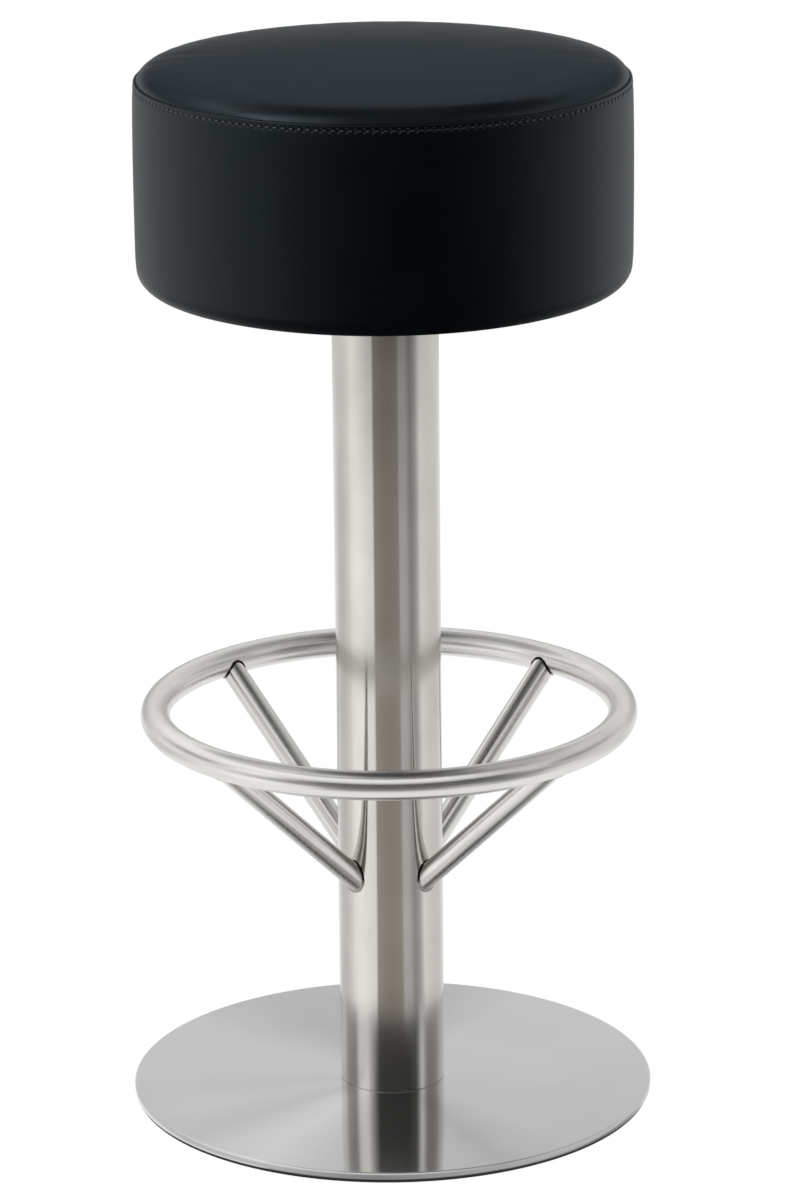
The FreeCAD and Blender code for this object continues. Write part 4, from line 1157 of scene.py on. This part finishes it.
def softbox(name, place, target, width, height, radiance):
    """An area lamp of a given brightness, pointed at a target."""
    light = bpy.data.lights.new(name, "AREA")
    light.shape = "RECTANGLE"
    light.size, light.size_y = width, height
    light.energy = radiance * math.pi * width * height
    lamp = linked(name, light)
    lamp.location = place
    lamp.rotation_euler = (Vector(target) - Vector(place)).to_track_quat("-Z", "Y").to_euler()
    lamp.visible_glossy = False


def card(finish, mesh, shade, strength=1.0):
    """A card that only glossy rays meet, named as its finish."""
    glow = finish.node("Emission", {"Color": shade, "Strength": strength})
    finish.node("OutputMaterial", {"Surface": glow.outputs[0]})
    made = shaped(finish.owner.name, mesh, finish.owner)
    for rays in ("camera", "diffuse", "transmission", "shadow"):
        setattr(made, f"visible_{rays}", False)


def spun_card(section):
    """The open mesh of a round card."""
    return spun(section, steps=96, closed=False)


def floor_cards():
    """The floor round the plate, even and pale for rays that come down steeply near the stool."""
    floor = Finish("floor_cards")
    radius = floor.radius()
    steep = floor.maths("MULTIPLY", floor.eased(floor.slant(), 0.62, 0.42), floor.eased(radius, 1.0, 0.6))
    near = floor.blended(steep, floor.by_azimuth(NEAR_FLOOR), 0.85)
    shade = floor.blended(floor.eased(radius, 1.9, 3.0), near, floor.by_azimuth(FAR_FLOOR))
    card(floor, spun_card([(PLATE_RADIUS + 0.001, 0.0006), (1.0, 0.0008), (WALL_RADIUS, 0.001)]), shade)


def wall_cards():
    """The wall, white high up, and one pale grey for rays that come aslant, straight off the plate."""
    wall = Finish("wall_cards")
    rise = wall.elevation(WALL_CENTRE, WALL_RADIUS)
    foot = wall.blended(0.13, wall.by_azimuth(FAR_FLOOR), 1)
    shade = wall.blended(wall.eased(rise, 8, 15), foot, wall.by_azimuth(WALL))
    first_bounce = wall.maths("LESS_THAN", wall.node("LightPath").outputs["Ray Depth"], 1.5)
    off_plate = wall.maths("MULTIPLY", wall.eased(wall.slant(), 0.0007, 0.0011), first_bounce)
    shade = wall.blended(off_plate, shade, 0.76)
    shade = wall.blended(wall.eased(rise, 32, 70), shade, 1)
    card(wall, spun_card(corner((0, WALL_CENTRE), WALL_RADIUS, -3.8, 70, 40)), shade)


def canopy_cards():
    """The canopy over the seat: a band that brightens upward, the part over it, and white at the top."""
    canopy = Finish("canopy_cards")
    rise = canopy.elevation(CANOPY_CENTRE, CANOPY_RADIUS)
    band = canopy.times(canopy.by_azimuth(CROWN_BAND), canopy.between(rise, 0.6, 1.65, 5, 36))
    off_ring = canopy.eased(canopy.slant(), 0.02, 0.045)
    band = canopy.blended(off_ring, band, canopy.by_azimuth(RING_BAND))
    behind = canopy.eased(canopy.axis(1), 0, 0.5)
    raised_behind = canopy.maths("MULTIPLY_ADD", behind, -24, rise)
    shade = canopy.blended(canopy.eased(raised_behind, 17, 28), band, canopy.by_azimuth(CANOPY))
    shade = canopy.blended(canopy.eased(rise, 74, 89), shade, 1)
    card(canopy, spun_card(corner((0, CANOPY_CENTRE), CANOPY_RADIUS, 4, 89, 40)), shade)


def hood_card():
    """A bent strip over the seat's front edge, for its shoulder and the crown behind it."""
    hood = Finish("hood_card")
    share = hood.maths("MULTIPLY_ADD", hood.axis(0), 0.5 / HOOD_HALF_WIDTH, 0.5)
    top, front = [hood.ramp(share, [(0.5 + 0.5 * along / HOOD_HALF_WIDTH, shade) for along, shade in stops])
                  for stops in (HOOD_TOP, HOOD_FRONT)]
    mesh = bmesh.new()
    points = [mesh.verts.new((-HOOD_HALF_WIDTH, ahead, height)) for ahead, height in HOOD_SECTION]
    edges = [mesh.edges.new(pair) for pair in zip(points, points[1:])]
    made = bmesh.ops.extrude_edge_only(mesh, edges=edges)["geom"]
    moved = [item for item in made if isinstance(item, bmesh.types.BMVert)]
    bmesh.ops.translate(mesh, vec=(2 * HOOD_HALF_WIDTH, 0, 0), verts=moved)
    card(hood, mesh, hood.blended(hood.eased(hood.axis(1), -0.17, -0.24), top, front), HOOD_STRENGTH)


def ring_cards():
    """Narrow rings under the seat, round it and round the plate."""
    under = SEAT_UNDER - 0.0075
    beside = PLATE_RADIUS + 0.006
    for name, section, stops in (("underseat_card", [(0.125, under), (0.215, under)], UNDERSEAT),
                                 ("side_card", [(0.3, 0.565), (0.3, 0.83)], SEAT_SIDE),
                                 ("rim_card", [(beside, 0.001), (beside, 0.0075)], PLATE_EDGE)):
        finish = Finish(name)
        card(finish, spun_card(section), finish.by_azimuth(stops))


MAKERS = (STOOL_OT_stage, STOOL_OT_base_plate, STOOL_OT_column, STOOL_OT_footrest, STOOL_OT_swivel,
          STOOL_OT_seat_frame, STOOL_OT_padding, STOOL_OT_leather, STOOL_OT_stitches, STOOL_OT_dust_cloth)
GROUPS = {"stool_sizes": StoolSizes, "stool_colours": StoolColours, "stool_studio": StoolStudio}


class STOOL_PT_panel(Panel):
    """Lists the stool's pieces with their sizes and colours"""
    bl_idname = "STOOL_PT_panel"
    bl_label = "Bar Stool"
    bl_space_type = "VIEW_3D"
    bl_region_type = "UI"
    bl_category = "Bar Stool"

    def draw(self, context):
        for maker in MAKERS:
            self.layout.operator(maker.bl_idname)
        for group, kind in GROUPS.items():
            box = self.layout.box()
            box.label(text=kind.__doc__)
            for name in kind.__annotations__:
                box.prop(getattr(context.scene, group), name)


def register():
    for kind in (*GROUPS.values(), *MAKERS, STOOL_PT_panel):
        bpy.utils.register_class(kind)
    for group, kind in GROUPS.items():
        setattr(bpy.types.Scene, group, PointerProperty(type=kind))


def unregister():
    for group in GROUPS:
        delattr(bpy.types.Scene, group)
    for kind in (STOOL_PT_panel, *reversed(MAKERS), *reversed(GROUPS.values())):
        bpy.utils.unregister_class(kind)


def main():
    """Makes the stool and its stage."""
    register()
    for maker in MAKERS:
        family, name = maker.bl_idname.split(".")
        getattr(getattr(bpy.ops, family), name)()


if __name__ == "__main__":
    main()
